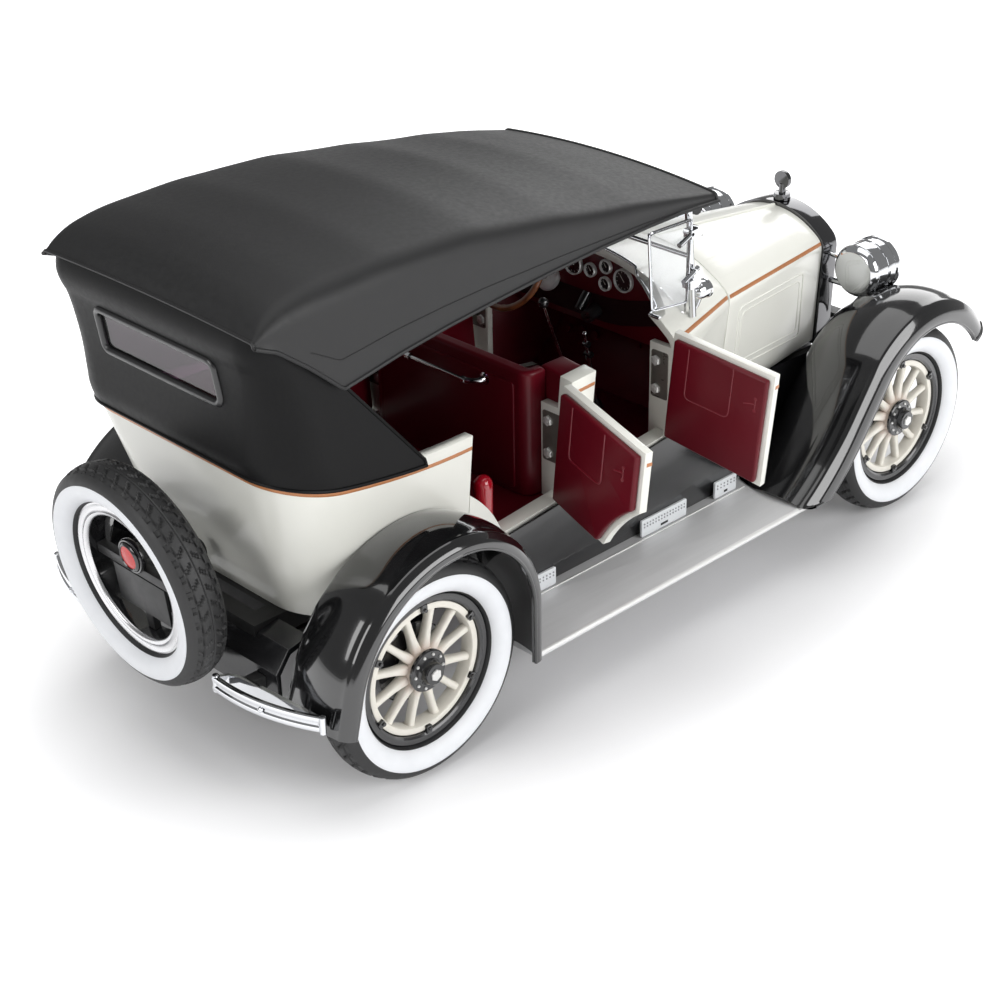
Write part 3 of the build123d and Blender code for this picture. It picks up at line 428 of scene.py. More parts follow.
def roundedOutline(corners, radius, steps=5):
    # closed anticlockwise outline with its corners rounded
    outline = []
    count = len(corners)
    for i in range(count):
        before, here, after = (Vector(corners[(i + k) % count]) for k in (-1, 0, 1))
        toBefore, toAfter = (before - here).normalized(), (after - here).normalized()
        half = toBefore.angle(toAfter) / 2
        reach = min(radius / tan(half), 0.48 * (before - here).length, 0.48 * (after - here).length)
        for k in range(steps + 1):
            t = k / steps
            a, b = here + toBefore * reach, here + toAfter * reach
            outline.append(tuple(a * (1 - t) ** 2 + here * (2 * t * (1 - t)) + b * t ** 2))
    return outline


def arcThrough(a, b, c, steps):
    # points of the circle arc from a over b to c, all 2-D
    (x0, y0), (x1, y1), (x2, y2) = a, b, c
    d = 2 * (x0 * (y1 - y2) + x1 * (y2 - y0) + x2 * (y0 - y1))
    sq = [x * x + y * y for x, y in (a, b, c)]
    cx = (sq[0] * (y1 - y2) + sq[1] * (y2 - y0) + sq[2] * (y0 - y1)) / d
    cy = (sq[0] * (x2 - x1) + sq[1] * (x0 - x2) + sq[2] * (x1 - x0)) / d
    angles = [atan2(y - cy, x - cx) for x, y in (a, b, c)]
    full = 2 * pi
    sweep = (angles[2] - angles[0]) % full
    if (angles[1] - angles[0]) % full > sweep:
        sweep -= full
    r = hypot(x0 - cx, y0 - cy)
    points = []
    for i in range(steps + 1):
        t = angles[0] + sweep * i / steps
        points.append((cx + r * cos(t), cy + r * sin(t)))
    return points


def smoothTable(table, x):
    # Catmull-Rom through rows of a table keyed by its first column
    keys = [row[0] for row in table]
    x = max(keys[0], min(keys[-1], x))
    i = max(k for k in range(len(keys) - 1) if keys[k] <= x)
    one, two = table[i], table[i + 1]
    before, after = table[max(0, i - 1)], table[min(len(keys) - 1, i + 2)]
    span = two[0] - one[0]
    t = (x - one[0]) / span
    values = []
    for k in range(1, len(one)):
        slopeOne = (two[k] - before[k]) / (two[0] - before[0]) * span
        slopeTwo = (after[k] - one[k]) / (after[0] - one[0]) * span
        h = (2 * t**3 - 3 * t**2 + 1, t**3 - 2 * t**2 + t, -2 * t**3 + 3 * t**2, t**3 - t**2)
        values.append(h[0] * one[k] + h[1] * slopeOne + h[2] * two[k] + h[3] * slopeTwo)
    return values


def straightTable(table, x):
    for (x0, v0), (x1, v1) in zip(table, table[1:]):
        if x <= x1 or (x1, v1) == table[-1]:
            t = max(0.0, min(1.0, (x - x0) / (x1 - x0)))
            return v0 + (v1 - v0) * t


def surfaceOf(node):
    mesh = cadNodes[node].data
    return BVHTree.FromPolygons([v.co / mm for v in mesh.vertices], [tuple(p.vertices) for p in mesh.polygons])


def fromSide(skin, x, z, sign):
    # where a level ray from one side of the car meets a surface, and the normal there
    return skin.ray_cast(Vector((x, sign * 60, z)), Vector((0, -sign, 0)))[:2]


def softCopy(name, node, rounding, steps=3, sharp=35, finish=None):
    # the CAD piece again with its edges rounded
    mesh = cadNodes[node].data.copy()
    shell = bmesh.new()
    shell.from_mesh(mesh)
    bmesh.ops.remove_doubles(shell, verts=shell.verts, dist=0.000002)
    if rounding:
        bmesh.ops.dissolve_limit(shell, angle_limit=radians(0.5), verts=shell.verts, edges=shell.edges)
        edges = [e for e in shell.edges if e.is_manifold and e.calc_face_angle() > radians(sharp)]
        bmesh.ops.bevel(shell, geom=edges, offset=rounding * mm, segments=steps, profile=0.5, affect="EDGES",
                        clamp_overlap=True)
    shell.to_mesh(mesh)
    shell.free()
    mesh.name = name
    mesh.shade_smooth()
    mesh.set_sharp_from_angle(angle=radians(50))
    piece = bpy.data.objects.new(name, mesh)
    scene.collection.objects.link(piece)
    mesh.materials.clear()
    mesh.materials.append(finish or slotFinish[slotOf[node]])
    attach(piece, cadNodes[node]["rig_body"])
    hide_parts(node)
    return piece


# wheels, made about the local Y axis with the outer face towards +Y

tyre = {
    "radius": 24.7, "rim": 17.1, "half": 5.0, "shoulderDrop": 0.8, "treadHalf": 3.5,
    "blocks": 44, "stepsPerBlock": 8, "groove": 0.5,
    "whiteFrom": 17.6, "whiteTo": 21.85, "whiteRaise": 0.10, "whiteSink": 0.2,
}


def treadDrop(turn, across):
    # depth of the tread pattern, turn in blocks, across from -1 to 1
    wide = abs(across)
    if wide < 0.05:
        return 0.4
    if wide < 0.62:
        zig = (turn + 0.9 * wide + (0.5 if across > 0 else 0)) % 1
        return 1.0 if zig < 0.25 and wide > 0.14 else 0.0
    if wide < 0.74:
        return 0.8
    if wide < 1.0:
        return 1.0 if (turn + 0.3) % 1 < 0.38 else 0.0
    return 0.0


def addTyre(name, place, body, tyreNode, whiteNode):
    t = tyre
    r, rim, half = t["radius"], t["rim"], t["half"]
    shoulder, edge = r - t["shoulderDrop"], t["treadHalf"]
    wallArc = ((rim + 0.1, 2.3), (rim + 3.6, half), (shoulder, edge))
    wall = arcThrough(*wallArc, 14)
    tread = arcThrough((shoulder, edge), (r, 0), (shoulder, -edge), 34)
    back = [(x, -y) for x, y in reversed(wall)]
    seat = [(rim + 0.1, -1.4), (rim - 1.2, -1.4), (rim - 1.2, 1.4), (rim + 0.1, 1.4)]
    profile = wall + tread[1:-1] + back + seat
    steps = t["blocks"] * t["stepsPerBlock"]
    rows = []
    for i in range(steps):
        turn = 2 * pi * i / steps
        row = []
        for k, (radius, y) in enumerate(profile):
            if len(wall) <= k < len(wall) + len(tread) - 2:
                radius -= t["groove"] * treadDrop(i / t["stepsPerBlock"], y / edge)
            row.append((radius * sin(turn), y, radius * cos(turn)))
        rows.append(row)
    rubber = Shape()
    rubber.grid(rows, closeRows=True, closeColumns=True, place=place)
    makePiece(name + "Tyre", rubber, tyreRubber, body, [tyreNode], sharp=30)
    band = [p for p in arcThrough(*wallArc, 60) if t["whiteFrom"] <= p[0] <= t["whiteTo"]]
    raised = []
    for i, (radius, y) in enumerate(band):
        fromRim = min(i, len(band) - 1 - i)
        raised.append((radius, y + t["whiteRaise"] * min(1, 0.35 + fromRim * 0.25)))
    first, last = ((radius, y - t["whiteSink"]) for radius, y in (band[0], band[-1]))
    ring = Shape()
    ring.lathe([first] + raised + [last], 128, place, closed=False)
    makePiece(name + "Whitewall", ring, whiteRubber, body, [whiteNode], sharp=50)


rimShape = {
    "lip": [(14.9, -2.3), (15.0, 1.5), (15.2, 2.15), (15.7, 2.42), (16.3, 2.35), (16.8, 2.45), (17.15, 2.2),
            (17.1, 1.5), (15.9, 1.4), (15.9, -1.4), (17.1, -1.5), (17.1, -2.3)],
    "clips": 6, "clip": [(-0.75, -15.6), (0.75, -15.6), (0.75, -13.75), (-0.75, -13.75)], "clipRound": 0.25,
    "clipFrom": 1.6, "clipHigh": 0.95, "nut": ((0, 2.4, 14.35), (0, 2.95, 14.35)), "nutRadius": 0.45,
}
hubShape = {
    "flange": [(0.0, 2.1), (4.55, 2.1), (4.75, 2.25), (4.75, 2.75), (4.5, 3.0), (3.0, 3.05), (2.75, 3.3),
               (2.55, 3.7), (2.5, 4.6), (2.3, 5.0), (0.0, 5.05)],
    # the drum's profile, the radius counted from its edge or, above zero, from the axis
    "drum": [(1.3, -5.1), (-0.3, -5.1), (0, -4.8), (0, -2.4), (-0.3, -2.15), (1.3, -2.15)],
    "bolts": 10, "boltCircle": 3.8, "bolt": [(0.0, 3.0), (0.36, 3.0), (0.36, 3.2), (0.216, 3.38), (0.0, 3.42)],
    "cap": [(0.0, 5.0), (1.35, 5.0), (1.35, 5.28), (1.23, 5.4), (0.0, 5.4)],
}
spokeShape = {
    "count": 12, "felloe": [(13.35, -1.5), (13.35, 1.45), (13.55, 1.75), (14.5, 1.85), (14.88, 1.7), (14.88, -1.6)],
    "hub": [(1.95, -1.9), (4.3, -1.9), (4.45, -1.6), (4.45, 1.6), (4.3, 2.0), (1.95, 2.0)],
    "squareness": 0.7, "ringSteps": 16,
    # radius, half width, half depth
    "sections": [(4.0, 1.15, 1.5), (5.2, 1.12, 1.45), (6.4, 0.95, 1.3), (8.0, 0.84, 1.15), (10.5, 0.80, 1.05),
                 (12.4, 0.82, 1.05), (13.6, 0.95, 1.1)],
}


def addSpokes(name, place, body, node):
    s = spokeShape
    wood = Shape()
    wood.lathe(s["felloe"], 96, place)
    wood.lathe(s["hub"], 48, place)
    ring = []
    for x, y, z in circle(1, 0, s["ringSteps"]):
        ring.append([copysign(abs(v) ** s["squareness"], v) for v in (z, x)])
    rows = [[(wide * c, deep * d, radius) for c, d in ring] for radius, wide, deep in s["sections"]]
    for i in range(s["count"]):
        turn = Matrix.Rotation(2 * pi * (i + 0.5) / s["count"], 4, "Y")
        wood.grid(rows, closeColumns=True, place=place @ turn)
    return makePiece(name + "Spokes", wood, spokeCream, body, [node], sharp=45)


def addRim(name, place, body, node, drumRadius):
    r, h = rimShape, hubShape
    black = Shape()
    black.lathe(r["lip"], 128, place)
    outline = roundedOutline(r["clip"], r["clipRound"], 3)
    for i in range(r["clips"]):
        turn = place @ Matrix.Rotation(2 * pi * i / r["clips"], 4, "Y")
        lay = turn @ Matrix.Translation((0, r["clipFrom"], 0)) @ Matrix.Rotation(-pi / 2, 4, "X")
        black.slab(outline, r["clipHigh"], lay, 0.2)
        black.rod(*r["nut"], r["nutRadius"], 6, place=turn)
    black.lathe(h["flange"], 64, place, closed=False)
    black.lathe([(radius if radius > 0 else drumRadius + radius, y) for radius, y in h["drum"]], 64, place)
    makePiece(name + "RimHub", black, blackWheel, body, [node], sharp=35)
    bright = Shape()
    for i in range(h["bolts"]):
        turn = Matrix.Rotation(2 * pi * (i + 0.5) / h["bolts"], 4, "Y")
        spot = place @ turn @ Matrix.Translation((0, 0, h["boltCircle"]))
        bright.lathe(h["bolt"], 10, spot, closed=False)
    bright.lathe(h["cap"], 6, place, closed=False)
    makePiece(name + "HubBolts", bright, screwSteel, body, sharp=30)


def wheelPlace(joint):
    spin = next(j for j in frame["joints"] if j["name"] == joint)
    centre = Vector(spin["pos_m"]) / mm
    return Matrix.Translation(centre) @ Matrix.Rotation(pi if centre.y < 0 else 0, 4, "Z")


def wearNear(name, base, worn, reach):
    # cream paint rubbed to pink towards the hub, by the wear attribute of the mesh
    finish = makeFinish(name, base, 0.03, 500, (0.36, 0.48), coat=0.2)
    tree = finish.node_tree
    shader = tree.nodes["Principled BSDF"]
    tint = shader.inputs["Base Color"].links[0].from_node
    streak = addNode(tree, "ShaderNodeTexNoise", {"Scale": 900, "Detail": 4})
    near = addNode(tree, "ShaderNodeAttribute", {}, attribute_name="wear")
    both = addNode(tree, "ShaderNodeMath", {0: streak.outputs["Fac"], 1: near.outputs["Fac"]}, operation="MULTIPLY")
    edge = addNode(tree, "ShaderNodeMapRange", {"Value": both.outputs[0], "From Min": reach[0],
                                                "From Max": reach[1]})
    mix = addNode(tree, "ShaderNodeMix", {"Factor": edge.outputs["Result"], "A": tint.outputs["Color"],
                                          "B": (*worn, 1)}, data_type="RGBA")
    tree.links.new(mix.outputs["Result"], shader.inputs["Base Color"])
    return finish


spokeCream = wearNear("spokeCream", (0.76, 0.73, 0.655), (0.62, 0.36, 0.28), (0.24, 0.62))


def markWear(piece, place):
    # wear falls off with the distance from the wheel's axis
    mesh = piece.data
    wear = mesh.attributes.new("wear", "FLOAT", "POINT")
    back = place.inverted()
    for i, v in enumerate(mesh.vertices):
        at = back @ (v.co / mm)
        radius = hypot(at.x, at.z)
        wear.data[i].value = max(0.0, min(1.0, (10.5 - radius) / 6.0)) * (0.75 if at.y > 0 else 0.4)


for end, drum in (("front", 4.4), ("rear", 9.0)):
    for side in ("right", "left"):
        wheel = f"wheel_{end}_{side}"
        title = f"{end}{side.capitalize()}"
        place = wheelPlace(f"spin_{end}_{side}")
        addTyre(title, place, wheel, wheel + "_tyre", wheel + "_whitewall")
        markWear(addSpokes(title, place, wheel, wheel + "_spokes"), place)
        addRim(title, place, wheel, wheel + "_rim_hub", drum)

spare = {
    "lean": 5.9, "outer": -124.5, "height": 45.6,
    # radius, along
    "barrel": [(14.0, -2.3), (14.0, 1.7), (14.4, 1.9), (15.9, 1.9), (15.9, -1.4), (17.1, -1.5), (17.1, -2.3)],
    "lip": [(14.0, 1.7), (14.1, 2.1), (14.4, 2.4), (14.9, 2.5), (15.2, 2.2), (15.7, 2.05), (16.3, 2.2),
            (16.7, 2.45), (17.1, 2.4), (17.1, 1.5), (15.9, 1.45), (14.4, 1.6)],
}
sparePlace = (Matrix.Translation((spare["outer"], 0, spare["height"]))
              @ Matrix.Rotation(radians(-spare["lean"]), 4, "Y")
              @ Matrix.Translation((tyre["half"], 0, 0)) @ Matrix.Rotation(pi / 2, 4, "Z"))
addTyre("spare", sparePlace, "car", "spare_tyre", "spare_whitewall")
spareRim, spareLip = Shape(), Shape()
spareRim.lathe(spare["barrel"], 128, sparePlace)
spareLip.lathe(spare["lip"], 128, sparePlace)
makePiece("spareRim", spareRim, blackWheel, "car", ["spare_rim"], sharp=35)
makePiece("spareLip", spareLip, silverRim, "car", sharp=35)
print("wheels made")

# top: one padded sheet over bows, with a hem along its edges

topShape = {
    # x, half width, shoulder, crown, corner radius
    "stations": [
        (-111.3, 34.4, 104.4, 105.3, 1.0), (-108.5, 35.0, 106.9, 108.9, 3.4), (-104.0, 35.5, 108.9, 111.6, 5.2),
        (-92.0, 36.0, 110.4, 113.6, 6.5), (-75.0, 36.0, 110.8, 114.0, 6.5), (-58.0, 36.0, 110.2, 113.4, 6.5),
        (-40.0, 36.0, 108.0, 111.4, 5.5), (-20.0, 36.0, 105.0, 108.4, 4.0), (2.0, 35.4, 101.8, 104.6, 2.4),
        (18.4, 33.8, 98.6, 100.6, 1.5)],
    "hem": [(-111.3, 103.3), (-107.0, 101.6), (-100.0, 96.2), (-92.6, 89.6), (-91.2, 89.9), (-78.3, 92.2),
            (-65.1, 94.0), (-51.4, 95.4), (-37.1, 96.7), (-22.3, 97.8), (-6.9, 98.3), (4.0, 98.2), (18.4, 96.8)],
    "bows": [-98.0, -79.0, -55.0, -32.0, -9.0], "sag": 0.32, "bowReach": 11.0,
    # hems: how far they are moved, their radius
    "hemSide": (0.1, 0.42), "hemRear": (0.1, 0.38), "hemFront": (-0.2, 0.45),
    "seamX": (-100, 14), "seamColumn": 3, "seamSink": 0.02, "seamRadius": 0.16,
    "thick": 1.2, "leanIn": 0.6, "along": 130, "acrossSide": 8, "acrossCorner": 8, "acrossTop": 22,
}


def topSection(x, inset):
    half, shoulder, crown, corner = smoothTable(topShape["stations"], x)
    low = straightTable(topShape["hem"], x)
    rise = max(exp(-((x - b) / topShape["bowReach"]) ** 2 * 4) for b in topShape["bows"])
    drop = topShape["sag"] * (1 - rise)
    half, shoulder, crown = half - inset, shoulder - inset - 0.5 * drop, crown - inset - drop
    upperHalf = half - topShape["leanIn"]
    reach = min(corner * 0.8, 0.8 * (shoulder - low))
    top = shoulder - reach
    side = []
    for i in range(topShape["acrossSide"] + 1):
        t = i / topShape["acrossSide"]
        z = low + (top - low) * t
        belly = -0.5 * sin(pi * t) * min(1.0, (top - low) / 10)
        side.append((-(half - topShape["leanIn"] * t + belly * 0.6), z))
    arch = arcThrough((-upperHalf, shoulder), (0, crown), (upperHalf, shoulder), 60)
    joined = []
    for i in range(topShape["acrossTop"] + 1):
        t = i / topShape["acrossTop"]
        width = (upperHalf - reach) * (2 * t - 1)
        k = min(59, max(0, int((width + upperHalf) / (2 * upperHalf) * 60)))
        (y0, z0), (y1, z1) = arch[k], arch[k + 1]
        joined.append((width, z0 + (z1 - z0) * (width - y0) / (y1 - y0)))
    bend = []
    a, b, c = Vector(side[-1]), Vector((-upperHalf, shoulder)), Vector(joined[0])
    for i in range(1, topShape["acrossCorner"]):
        t = i / topShape["acrossCorner"]
        bend.append(tuple(a * (1 - t) ** 2 + b * 2 * t * (1 - t) + c * t * t))
    right = side + bend
    left = [(-y, z) for y, z in reversed(right)]
    return [(x, y, z) for y, z in right + joined + left]


def addTop():
    t = topShape
    first, last = t["stations"][0][0], t["stations"][-1][0]
    xs = [first + (last - first) * i / t["along"] for i in range(t["along"] + 1)]
    outer = [topSection(x, 0) for x in xs]
    inner = [topSection(min(max(x, first + 0.6), last - 0.6), t["thick"]) for x in xs]
    sheet = Shape()
    sheet.shell(outer, inner)
    makePiece("topSheet", sheet, topVinyl, "car", ["roof"], sharp=50)
    hem = Shape()
    lift, radius = t["hemSide"]
    for side in (0, -1):
        hem.tube([Vector(row[side]) + Vector((0, 0, lift)) for row in outer], radius, 8)
    for row, (shift, radius) in ((outer[0], t["hemRear"]), (outer[-1], t["hemFront"])):
        hem.tube([Vector(p) + Vector((shift, 0, 0)) for p in row], radius, 8)
    makePiece("topHem", hem, topVinyl, "car")
    seam = Shape()
    rear, front = t["seamX"]
    for column, shift in ((t["seamColumn"], t["seamSink"]), (-1 - t["seamColumn"], -t["seamSink"])):
        line = [Vector(row[column]) + Vector((0, shift, 0)) for row, x in zip(outer, xs) if rear < x < front]
        seam.tube(line, t["seamRadius"], 6)
    makePiece("topSideSeam", seam, topVinyl, "car")


addTop()
print("top made")

# rear curtain round the back of the body, with its window

curtainShape = {
    "belt": [(-55.9, 67.5), (-90.0, 69.8), (-115.0, 76.4)], "frontFoot": -72.4, "frontHead": -92.6,
    "headHeight": 91.0,
    "halfFoot": 35.8, "halfHead": 34.0, "cornerFoot": 13.4, "cornerHead": 6.0, "overlap": 2.2,
    # height, back of the curtain
    "back": [(60.0, -106.4), (68.0, -107.2), (72.0, -108.0), (75.0, -108.7), (78.5, -108.7), (84.7, -108.7),
             (90.8, -109.3), (96.0, -110.2), (98.2, -111.1), (100.6, -111.7), (102.6, -111.5), (105.5, -110.6)],
    "footHeight": 66.0, "rise": 38.0, "edgeFoot": 66.9, "levelFrom": 78,
    "headRows": [96.6, 97.4, 98.2, 99.0, 99.8, 100.6, 101.4, 102.4, 103.6, 104.7],
    "pipeLift": 0.25, "footPipe": 0.42, "edgePipe": 0.36, "frameRadius": 0.85, "frameRound": 2.0,
    "pane": (0.25, 0.75),
    "thick": 1.0, "window": (19.1, 86.3, 95.7), "sideColumns": 18, "cornerColumns": 12, "backColumns": 16,
}
beltArc = arcThrough(*curtainShape["belt"], 80)


def beltHeight(x):
    for (x0, z0), (x1, z1) in zip(beltArc, beltArc[1:]):
        if x1 <= x <= x0:
            return z0 + (z1 - z0) * (x - x0) / (x1 - x0)
    return beltArc[0][1] if x > beltArc[0][0] else beltArc[-1][1]


def curtainPoint(spot, z, inset):
    # spot: side, corner or back, the share along it, and which side of the car
    c = curtainShape
    t = min(1, max(0, (z - c["footHeight"]) / c["rise"]))
    half = c["halfFoot"] + (c["halfHead"] - c["halfFoot"]) * t - inset
    corner = c["cornerFoot"] + (c["cornerHead"] - c["cornerFoot"]) * t - inset
    back = smoothTable(c["back"], z)[0] + inset
    kind, share, sign = spot
    if kind == "side":
        climb = min(1, max(0, (z - c["edgeFoot"]) / (c["headHeight"] - c["edgeFoot"])))
        start = c["frontFoot"] + (c["frontHead"] - c["frontFoot"]) * climb
        return Vector((start + (back + corner - start) * share, sign * half, z))
    if kind == "corner":
        a = share * pi / 2
        return Vector((back + corner - corner * sin(a), sign * (half - corner + corner * cos(a)), z))
    edge = c["window"][0]
    if share <= 1:
        return Vector((back, sign * edge * share, z))
    return Vector((back, sign * (edge + (half - corner - edge) * (share - 1)), z))


def addCurtain():
    c = curtainShape
    right = [("side", i / c["sideColumns"], -1) for i in range(c["sideColumns"])]
    right += [("corner", i / c["cornerColumns"], -1) for i in range(c["cornerColumns"])]
    right += [("back", 2 - i / 3, -1) for i in range(3)]
    inWindow = [("back", 1 - 2 * i / c["backColumns"], -1) for i in range(c["backColumns"] + 1)]
    columns = right + inWindow + [(k, t, 1) for k, t, sign in reversed(right)]
    edge, sill, lintel = c["window"]
    level, lowRows, midRows = c["levelFrom"], 7, 5
    upper = [level + i * (sill - level) / midRows for i in range(midRows)]
    upper += [sill + i * (lintel - sill) / midRows for i in range(midRows + 1)] + c["headRows"]
    firstHole, lastHole = len(right), len(right) + c["backColumns"]
    sheets = []
    for inset in (0, c["thick"]):
        rows = []
        for spot in columns:
            foot = beltHeight(curtainPoint(spot, 70, inset).x) - c["overlap"]
            heights = [foot + (level - foot) * i / lowRows for i in range(lowRows)] + upper
            rows.append([curtainPoint(spot, z, inset) for z in heights])
        sheets.append(rows)
    lowHole, highHole = lowRows + midRows, lowRows + 2 * midRows
    cloth = Shape()
    wide = len(sheets[0][0])
    faces = []
    count = len(columns)
    for layer in (0, 1):
        for i in range(count - 1):
            for j in range(wide - 1):
                if firstHole <= i < lastHole and lowHole <= j < highHole:
                    continue
                a = (layer * count + i) * wide + j
                faces.append((a, a + 1, a + wide + 1, a + wide))
    shift = count * wide

    def edgeFaces(pairs):
        for a, b in pairs:
            faces.append((a, b, b + shift, a + shift))

    def at(i, j):
        return i * wide + j

    edgeFaces([(at(i, 0), at(i + 1, 0)) for i in range(count - 1)])
    edgeFaces([(at(i, wide - 1), at(i + 1, wide - 1)) for i in range(count - 1)])
    edgeFaces([(at(0, j), at(0, j + 1)) for j in range(wide - 1)])
    edgeFaces([(at(count - 1, j), at(count - 1, j + 1)) for j in range(wide - 1)])
    edgeFaces([(at(i, k), at(i + 1, k)) for k in (lowHole, highHole) for i in range(firstHole, lastHole)])
    edgeFaces([(at(k, j), at(k, j + 1)) for k in (firstHole, lastHole) for j in range(lowHole, highHole)])
    cloth.add([p for rows in sheets for row in rows for p in row], faces)
    # the curtain takes the darker vinyl, painted shade
    makePiece("rearCurtain", cloth, shadedCurtainVinyl, "car", ["rear_curtain"], sharp=50)
    outer = sheets[0]
    piping = Shape()
    piping.tube([row[0] + Vector((0, 0, c["pipeLift"])) for row in outer], c["footPipe"], 8)
    for row in (outer[0], outer[-1]):
        piping.tube(row[:-8], c["edgePipe"], 8)
    # the piping takes the same darker vinyl, painted shade
    makePiece("curtainPiping", piping, shadedCurtainVinyl, "car")
    ring = roundedOutline([(-edge, sill), (edge, sill), (edge, lintel), (-edge, lintel)], c["frameRound"], 6)
    bead = Shape()
    bead.tube([(smoothTable(c["back"], z)[0] + 0.1, y, z) for y, z in ring], c["frameRadius"], 10, closed=True)
    makePiece("curtainWindowFrame", bead, windowRubber, "car")
    pane, paneRows = Shape(), []
    for i in range(7):
        z = sill + (lintel - sill) * i / 6
        x0, x1 = (smoothTable(c["back"], z)[0] + deep for deep in c["pane"])
        paneRows.append([(x0, -edge, z), (x0, edge, z), (x1, edge, z), (x1, -edge, z)])
    pane.grid(paneRows, closeColumns=True)
    pane.capEnds(paneRows)
    makePiece("curtainPane", pane, smokePane, "car", ["glass"])


addCurtain()
print("curtain made")

# fenders: a crowned section with a ridge bead and a rolled lip, carried along the ridge line

fenderShape = {
    "thick": 1.1, "ridgeHigh": 0.28, "ridgeWide": 1.3,
    # the section bends down at bendY and is thinner beyond lipY
    "bendY": -47.5, "lipY": -49.4, "lipShare": 0.35, "lipIn": 0.3, "lipRadius": 0.42, "tipRadius": 0.5,
    "frontLow": 17.75, "sideGap": 0.3,
    "frontCrown": [(-21.5, -11.0), (-38.0, 1.4), (-48.2, 0.0)],
    "frontFlange": [(-48.2, 0.0), (-49.7, -1.6), (-50.2, -5.0)],
    "rearCrown": [(-29.0, -2.0), (-40.0, 1.2), (-48.4, 0.0)],
    "rearFlange": [(-48.4, 0.0), (-49.8, -1.0), (-50.2, -2.8)],
    "frontStart": (36.5, 17.6), "frontKnee": (54.0, 34.2), "startSlope": 33.6, "climb": 13.0,
    "frontTip": (107.0, 44.0),
    "rearFoot": (-53.3, 17.7), "rearRise": 31.5, "rearTop": (-77.0, 55.4), "rearDrop": (-106.8, 32.2),
    "rearTail": 9.0,
    "sideHalf": 32.3, "sideLean": 5.75, "wall": (0.28, 0.95), "wallInset": 0.75, "wallFoot": 30.0, "wallRear": 23.5,
}


def tangentArc(start, heading, end, steps):
    # 2-D arc that leaves start along heading and ends at end
    start, heading, end = Vector(start), Vector(heading).normalized(), Vector(end)
    normal = Vector((-heading.y, heading.x))
    chord = end - start
    radius = chord.length_squared / (2 * chord.dot(normal))
    centre = start + normal * radius
    turn = 2 * atan2(chord.dot(normal), chord.dot(heading))
    points = []
    for i in range(steps + 1):
        a = turn * i / steps
        c, d = cos(a), sin(a)
        v = start - centre
        points.append(centre + Vector((v.x * c - v.y * d, v.x * d + v.y * c)))
    last = Vector((heading.x * cos(turn) - heading.y * sin(turn),
                   heading.x * sin(turn) + heading.y * cos(turn)))
    return points, last


def straight(start, heading, length, steps):
    return [Vector(start) + heading * (length * i / steps) for i in range(1, steps + 1)]


def fenderLine(front):
    f = fenderShape
    if front:
        slope = radians(f["startSlope"])
        line, heading = tangentArc(f["frontStart"], (cos(slope), sin(slope)), f["frontKnee"], 30)
        line += straight(line[-1], heading, f["climb"], 12)
        over, heading = tangentArc(line[-1], heading, f["frontTip"], 80)
        return line + over[1:]
    foot = Vector(f["rearFoot"])
    line = [foot] + straight(foot, Vector((0, 1)), f["rearRise"] - foot.y, 12)
    back, heading = tangentArc(line[-1], (0, 1), f["rearTop"], 50)
    line += back[1:]
    drop, heading = tangentArc(line[-1], heading, f["rearDrop"], 60)
    line += drop[1:]
    return line + straight(line[-1], heading, f["rearTail"], 10)


def fenderSkin(front):
    f = fenderShape
    crown = arcThrough(*f["frontCrown" if front else "rearCrown"], 36)
    flange = arcThrough(*f["frontFlange" if front else "rearFlange"], 12)
    outline = crown + flange[1:]
    ridge = len(crown) - 1
    raised = []
    for i, (y, n) in enumerate(outline):
        raised.append((y, n + f["ridgeHigh"] * exp(-((i - ridge) / f["ridgeWide"]) ** 2)))
    line = fenderLine(front)
    side = tan(radians(f["sideLean"]))
    layers = []
    for inset in (0, f["thick"]):
        rows = []
        for i, p in enumerate(line):
            along = headingAt(line, i)
            out = Vector((-along.y, along.x)) if front else Vector((along.y, -along.x))
            row = []
            for y, n in raised:
                deep = n - inset * (1 if y > f["lipY"] else f["lipShare"])
                wide = y if y > f["bendY"] else y + inset * min(1, (f["bendY"] - y) / 2)
                q = p + out * deep
                z = max(q.y, f["frontLow"]) if front else q.y
                if not front:
                    wide = min(wide, -(f["sideHalf"] + (z - 40) * side) - f["sideGap"])
                row.append(Vector((q.x, wide, z)))
            rows.append(row)
        layers.append(rows)
    return layers


def addFender(name, front, flip, node):
    outer, inner = fenderSkin(front)
    skin = Shape()
    skin.shell(outer, inner, flip)
    f = fenderShape
    lip = [row[-1] + Vector((0, f["lipIn"], 0)) for row in outer]
    skin.tube(lip, f["lipRadius"], 8, place=flip)
    if front:
        skin.tube([p - Vector((f["lipIn"], 0, 0)) for p in outer[-1]], f["tipRadius"], 8, place=flip)
    else:
        # wheel arch wall beside the body
        line = fenderLine(False)
        edge = []
        for i, p in enumerate(line):
            along = headingAt(line, i)
            at = p - Vector((along.y, -along.x)) * f["wallInset"]
            if at.y > (f["wallFoot"] if at.x > -90 else f["wallRear"]):
                edge.append(at)
        lean = tan(radians(f["sideLean"]))
        rows = [[Vector((p.x, -(f["sideHalf"] + (p.y - 40) * lean + out), p.y)) for p in edge] for out in f["wall"]]
        skin.grid(rows, place=flip)
        skin.capEnds(rows, flip)
    makePiece(name, skin, blackPaint, "car", [node], sharp=50)


for flip, side in zip(bothSides, ("Right", "Left")):
    addFender("frontFender" + side, True, flip, "front_fenders")
    addFender("rearFender" + side, False, flip, "rear_fenders")
print("fenders made")

# body lines: a copper line along the belt, the doors, the cowl and the hood

